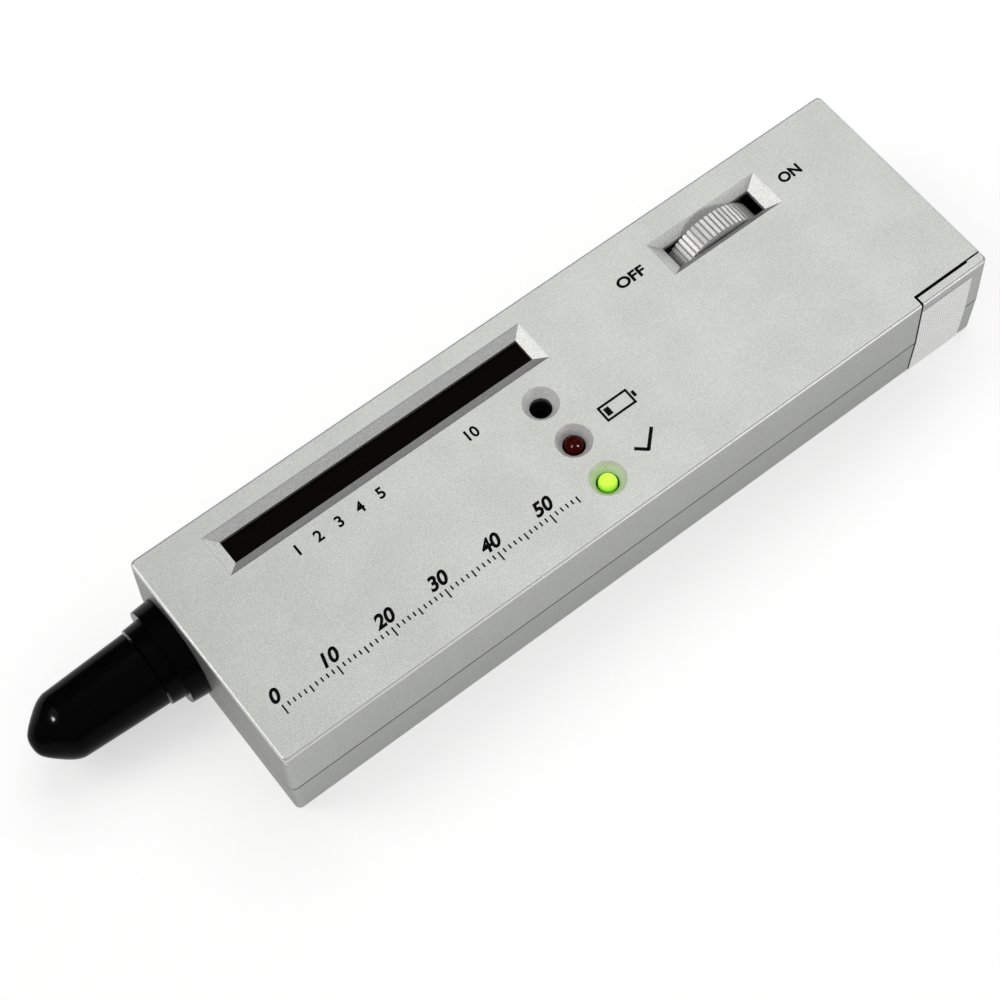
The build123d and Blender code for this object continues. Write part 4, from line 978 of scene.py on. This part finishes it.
@dataclass
class NeedleSpring:
    """The probe's coil spring, which shortens as the needle goes in; here it is wound at its full length."""

    turns: int = 10
    steps_a_turn: int = 20
    wire_radius: float = 0.12 * MM
    wire_sides: int = 8
    travel: float = 1.5 * MM

    def build(self) -> bpy.types.Object:
        """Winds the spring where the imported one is.

        Returns:
            The piece.
        """
        low, high = (Vector(corner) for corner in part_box("needle_spring"))
        middle = (low + high) / 2
        coil_radius = (high.z - low.z) / 2 - self.wire_radius
        steps = self.turns * self.steps_a_turn
        rise = high.x - low.x - 2 * self.wire_radius
        start = Matrix.Translation((high.x - self.wire_radius, middle.y, middle.z + coil_radius))
        bm = bmesh.new()
        bmesh.ops.create_circle(bm, segments=self.wire_sides, radius=self.wire_radius,
                                matrix=start @ Matrix.Rotation(math.pi / 2, 4, "X"))
        bmesh.ops.spin(bm, geom=bm.verts[:] + bm.edges[:], cent=middle, axis=(1.0, 0.0, 0.0),
                       dvec=(-rise / steps, 0.0, 0.0), angle=2 * math.pi * self.turns, steps=steps)
        bmesh.ops.holes_fill(bm, edges=[edge for edge in bm.edges if edge.is_boundary], sides=0)
        bmesh.ops.recalc_face_normals(bm, faces=bm.faces[:])
        for face in bm.faces:
            face.smooth = True
        piece = make_piece("coil_spring", bm, STEEL, "case")
        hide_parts("needle_spring")
        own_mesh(piece)
        return piece


@dataclass(frozen=True)
class Text:
    """A printed word or number.

    Its centre is x and y, its height that of its capitals, and a length of 0 leaves it to the letters. Bold
    thickens its strokes by a share of its size.
    """

    words: str
    centre: FlatPoint
    height: float = 2.0 * MM
    length: float = 0.0
    bold: float = 0.035
    lean: float = 0.0


@dataclass(frozen=True)
class Stroke:
    """A straight printed stroke: its two ends, x and y, and its width."""

    start: FlatPoint
    end: FlatPoint
    width: float


@dataclass
class Marks:
    """Black print on the display face: the switch's two words, numbers, a length scale and two signs."""

    face_z: float = 21.0 * MM
    thickness: float = 0.03 * MM
    sink: float = 0.015 * MM
    switch: tuple[Text, ...] = (Text("OFF", (22.3 * MM, 12.4 * MM), length=5.4 * MM),
                                Text("ON", (55.0 * MM, 11.7 * MM), length=4.2 * MM))
    last_number: Text = Text("10", (-14.7 * MM, 5.75 * MM), bold=0.025)
    number_count: int = 5
    number_place: FlatPoint = (-47.6 * MM, 6.2 * MM)
    number_pitch: float = 3.9 * MM
    scale_zero: float = -64.0 * MM
    scale_length: int = 55
    scale_y: float = -12.9 * MM
    ticks: dict[int, float] = field(default_factory=lambda: {10: 1.7 * MM, 5: 1.25 * MM, 1: 0.8 * MM})
    tick_width: float = 0.26 * MM
    numeral_height: float = 2.5 * MM
    numeral_gap: float = 0.6 * MM
    numeral_lean: float = 0.25
    cell_low: FlatPoint = (3.2 * MM, -5.7 * MM)
    cell_high: FlatPoint = (8.6 * MM, -3.1 * MM)
    cell_line: float = 0.4 * MM
    cap_height: float = 1.1 * MM
    charge: tuple[float, float] = (0.5 * MM, 1.5 * MM)
    charge_height: float = 1.5 * MM
    check: tuple[Stroke, ...] = (Stroke((3.2 * MM, -12.0 * MM), (4.95 * MM, -13.55 * MM), 0.58 * MM),
                                 Stroke((4.75 * MM, -13.6 * MM), (7.7 * MM, -10.7 * MM), 0.58 * MM))

    def write(self, bm: bmesh.types.BMesh, text: Text) -> None:
        """Adds printed text to a mesh.

        Args:
            bm: The mesh.
            text: What is written, and how.
        """
        curve = bpy.data.curves.new("print", "FONT")
        curve.body, curve.offset, curve.shear = text.words, text.bold, text.lean
        carrier = bpy.data.objects.new("print", curve)
        flat = bpy.data.meshes.new_from_object(carrier)
        bpy.data.objects.remove(carrier)
        xs, ys = [vert.co.x for vert in flat.vertices], [vert.co.y for vert in flat.vertices]
        tall = text.height / (max(ys) - min(ys))
        wide = text.length / (max(xs) - min(xs)) if text.length else tall
        middle = Vector(((max(xs) + min(xs)) / 2, (max(ys) + min(ys)) / 2, 0.0))
        place = Matrix.Translation((*text.centre, self.face_z + self.thickness))
        flat.transform(place @ Matrix.Diagonal((wide, tall, 1.0, 1.0)) @ Matrix.Translation(-middle))
        before = set(bm.faces)
        bm.from_mesh(flat)
        bpy.data.meshes.remove(flat)
        self.thicken(bm, before)

    def draw(self, bm: bmesh.types.BMesh, stroke: Stroke) -> None:
        """Adds a straight stroke to a mesh.

        Args:
            bm: The mesh.
            stroke: The stroke.
        """
        start, end = Vector(stroke.start), Vector(stroke.end)
        way, middle = end - start, (start + end) / 2
        place = Matrix.Translation((middle.x, middle.y, self.face_z + self.thickness))
        turned = Matrix.Rotation(math.atan2(way.y, way.x), 4, "Z")
        spread = Matrix.Diagonal((way.length / 2, stroke.width / 2, 1.0, 1.0))
        before = set(bm.faces)
        bmesh.ops.create_grid(bm, x_segments=1, y_segments=1, size=1.0, matrix=place @ turned @ spread)
        self.thicken(bm, before)

    def thicken(self, bm: bmesh.types.BMesh, before: set) -> None:
        """Gives new flat print its thickness, down into the face that carries it.

        Args:
            bm: The mesh.
            before: The faces that were there before the print.
        """
        faces = [face for face in bm.faces if face not in before]
        made = bmesh.ops.extrude_face_region(bm, geom=faces, use_keep_orig=True)["geom"]
        verts = [part for part in made if isinstance(part, bmesh.types.BMVert)]
        bmesh.ops.translate(bm, verts=verts, vec=(0.0, 0.0, -self.thickness - self.sink))

    def numbers(self) -> list[Text]:
        """Lists the plain numbers beside the window.

        Returns:
            The numbers.
        """
        first_x, y = self.number_place
        row = [Text(str(index + 1), (first_x + index * self.number_pitch, y), bold=self.last_number.bold)
               for index in range(self.number_count)]
        return [*row, self.last_number]

    def scale_ticks(self) -> list[Stroke]:
        """Lists the length scale's ticks, one a millimetre.

        Returns:
            The strokes.
        """
        made = []
        for index in range(self.scale_length + 1):
            length = next(size for step, size in self.ticks.items() if index % step == 0)
            x = self.scale_zero + index * MM
            made.append(Stroke((x, self.scale_y), (x, self.scale_y - length), self.tick_width))
        return made

    def numerals(self) -> list[Text]:
        """Lists the length scale's leaning numerals, one at each ten.

        Returns:
            The numerals.
        """
        y = self.scale_y + self.numeral_gap + self.numeral_height / 2
        size, lean = self.numeral_height, self.numeral_lean
        return [Text(str(index), (self.scale_zero + index * MM, y), size, lean=lean)
                for index in range(0, self.scale_length, 10)]

    def cell(self) -> list[Stroke]:
        """Lists the strokes of the battery's sign: its outline, its cap and the little charge left.

        Returns:
            The strokes.
        """
        (left, low), (right, high) = self.cell_low, self.cell_high
        line, middle = self.cell_line, (low + high) / 2
        made = [Stroke((left, y), (right, y), line) for y in (low, high)]
        made += [Stroke((x, low - line / 2), (x, high + line / 2), line) for x in (left, right)]
        made.append(Stroke((right + line, middle), (right + 2.4 * line, middle), self.cap_height))
        start, end = self.charge
        made.append(Stroke((left + start, middle), (left + end, middle), self.charge_height))
        return made

    def build(self) -> None:
        """Builds the four printed pieces."""
        prints = {
            "switch_words": self.switch,
            "window_numbers": self.numbers(),
            "length_scale": [*self.scale_ticks(), *self.numerals()],
            "light_signs": [*self.cell(), *self.check],
        }
        for name, marks in prints.items():
            bm = bmesh.new()
            for mark in marks:
                put = self.write if isinstance(mark, Text) else self.draw
                put(bm, mark)
            bmesh.ops.recalc_face_normals(bm, faces=bm.faces[:])
            make_piece(name, bm, PRINT, "case")


@dataclass(frozen=True)
class Lamp:
    """One round lamp: the way to it, its size, brightness, tint and distance.

    One with glints_on only glints on those nodes.
    """

    name: str
    way: Point
    size: float
    brightness: float
    tint: Colour = (1.0, 1.0, 1.0)
    glints_on: tuple[str, ...] = ()
    distance: float = 1.0

    def build(self) -> None:
        """Hangs the lamp so that it faces the object."""
        data = bpy.data.lights.new(self.name, "AREA")
        data.shape = "DISK"
        data.size = self.size
        data.color = self.tint
        data.energy = self.brightness * math.pi * math.pi * (self.size / 2) ** 2
        lamp = bpy.data.objects.new(self.name, data)
        way = Vector(self.way).normalized()
        lamp.location = way * self.distance
        lamp.rotation_euler = way.to_track_quat("Z", "Y").to_euler()
        bpy.context.scene.collection.objects.link(lamp)
        if self.glints_on:
            receivers = bpy.data.collections.new(f"{self.name}_receivers")
            for name in self.glints_on:
                receivers.objects.link(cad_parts[name])
            lamp.light_linking.receiver_collection = receivers
            lamp.visible_diffuse = False


@dataclass
class Studio:
    """The floor, the sky, the lamps and the camera.

    The sky's strength goes from sky_low to sky_top, and falls to the share sky_dark towards dark_way.
    """

    floor_half: float = 2.5
    floor_sides: int = 96
    floor_albedo: float = 0.68
    floor_glow: float = 0.56
    sky_top: float = 0.6
    sky_low: float = 0.32
    sky_top_z: float = 0.7
    sky_dark: float = 0.12
    dark_way: Point = (0.1, 0.98, 0.1)
    dark_span: tuple[float, float] = (0.35, 0.95)
    backdrop: float = 0.95
    eye: Point = (-0.10878, -0.13974, 0.34313)
    right: Point = (0.7921, -0.6096, -0.0305)
    up: Point = (0.5564, 0.7007, 0.4467)
    back: Point = (-0.2509, -0.3708, 0.8942)
    focal_pixels: float = 2358.9
    frame_pixels: float = 1000.0
    sensor: float = 36.0
    clip_start: float = 0.01
    lamps: tuple[Lamp, ...] = (
        Lamp("overhead", (0.34, 0.36, 0.87), 0.9, 0.95),
        Lamp("key", (-0.58, 0.4, 0.71), 0.55, 2.15, (1.0, 0.985, 0.97)),
        Lamp("far_end", (0.9, 0.38, 0.24), 0.5, 1.5),
        Lamp("edge", (0.42, -0.9, 0.12), 0.36, 2.4),
        Lamp("nose_glint", (-0.722, -0.183, 0.668), 0.16, 1200.0, glints_on=("low_battery_light",)),
        Lamp("side_glint", (0.311, -0.75, 0.583), 0.2, 1200.0, glints_on=("low_battery_light",)),
        Lamp("cap_glint", (-0.69, 0.21, 0.64), 0.15, 280.0, glints_on=("protective_cap", "probe_bush")),
    )

    def floor(self) -> None:
        """Lays the pale floor, white where a camera, metal or glass sees it, with the object's shadow."""
        bm = bmesh.new()
        bmesh.ops.create_circle(bm, cap_ends=True, segments=self.floor_sides, radius=self.floor_half)
        data = bpy.data.meshes.new("floor")
        bm.to_mesh(data)
        bm.free()
        made = bpy.data.materials.new("pale_floor")
        made.use_nodes = True
        graph = Graph(made.node_tree)
        rays = [graph.add("ShaderNodeLightPath", out=f"Is {kind} Ray")
                for kind in ("Camera", "Glossy", "Transmission")]
        seen = graph.math("MAXIMUM", rays[0], graph.math("MAXIMUM", rays[1], rays[2]))
        glow = graph.add("ShaderNodeEmission", {"Strength": graph.math("MULTIPLY", seen, self.floor_glow)})
        matt = graph.add("ShaderNodeBsdfDiffuse", {"Color": rgba((self.floor_albedo,) * 3)})
        end = graph.tree.nodes.new("ShaderNodeOutputMaterial")
        graph.tree.links.new(graph.add("ShaderNodeAddShader", {0: matt, 1: glow}), end.inputs["Surface"])
        data.materials.append(made)
        floor = bpy.data.objects.new("floor", data)
        bpy.context.scene.collection.objects.link(floor)

    def light(self) -> None:
        """Sets the soft sky, darker low down and to one side but pale to a camera, and hangs the lamps."""
        world = bpy.data.worlds.new("sky")
        bpy.context.scene.world = world
        world.use_nodes = True
        graph = Graph(world.node_tree)
        way = graph.add("ShaderNodeTexCoord", out="Generated")
        plugs = {0: graph.axes(way)[2], 1: 0.0, 2: self.sky_top_z, 3: self.sky_low, 4: self.sky_top}
        level = graph.add("ShaderNodeMapRange", plugs, interpolation_type="SMOOTHSTEP")
        towards = graph.vector("DOT_PRODUCT", way, self.dark_way, out="Value")
        plugs = {0: towards, 1: self.dark_span[0], 2: self.dark_span[1], 3: 1.0, 4: self.sky_dark}
        share = graph.add("ShaderNodeMapRange", plugs, interpolation_type="SMOOTHSTEP")
        seen = graph.add("ShaderNodeLightPath", out="Is Camera Ray")
        strength = graph.blend(seen, graph.math("MULTIPLY", level, share), self.backdrop)
        glow = graph.add("ShaderNodeBackground", {"Strength": strength})
        end = graph.tree.nodes.new("ShaderNodeOutputWorld")
        graph.tree.links.new(glow, end.inputs["Surface"])
        for lamp in self.lamps:
            lamp.build()
            log.info("hung lamp %s", lamp.name)

    def camera(self) -> None:
        """Puts the camera where the photograph was taken from."""
        data = bpy.data.cameras.new("camera")
        data.sensor_width = self.sensor
        data.lens = self.focal_pixels * self.sensor / self.frame_pixels
        data.clip_start = self.clip_start
        camera = bpy.data.objects.new("camera", data)
        turn = Matrix((self.right, self.up, self.back)).transposed().to_quaternion().to_matrix()
        camera.matrix_world = Matrix.Translation(self.eye) @ turn.to_4x4()
        bpy.context.scene.collection.objects.link(camera)
        bpy.context.scene.camera = camera

    def build(self) -> None:
        """Builds the whole studio."""
        self.floor()
        self.light()
        self.camera()
        bpy.context.scene.view_settings.view_transform = "Standard"


def main() -> None:
    """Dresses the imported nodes, adds the fine pieces and sets the studio."""
    logging.basicConfig(level=logging.INFO, format="%(name)s: %(message)s")
    dress_nodes()
    DoorGrip().build()
    NeedleSpring().build()
    Marks().build()
    Studio().build()


if __name__ == "__main__":
    main()
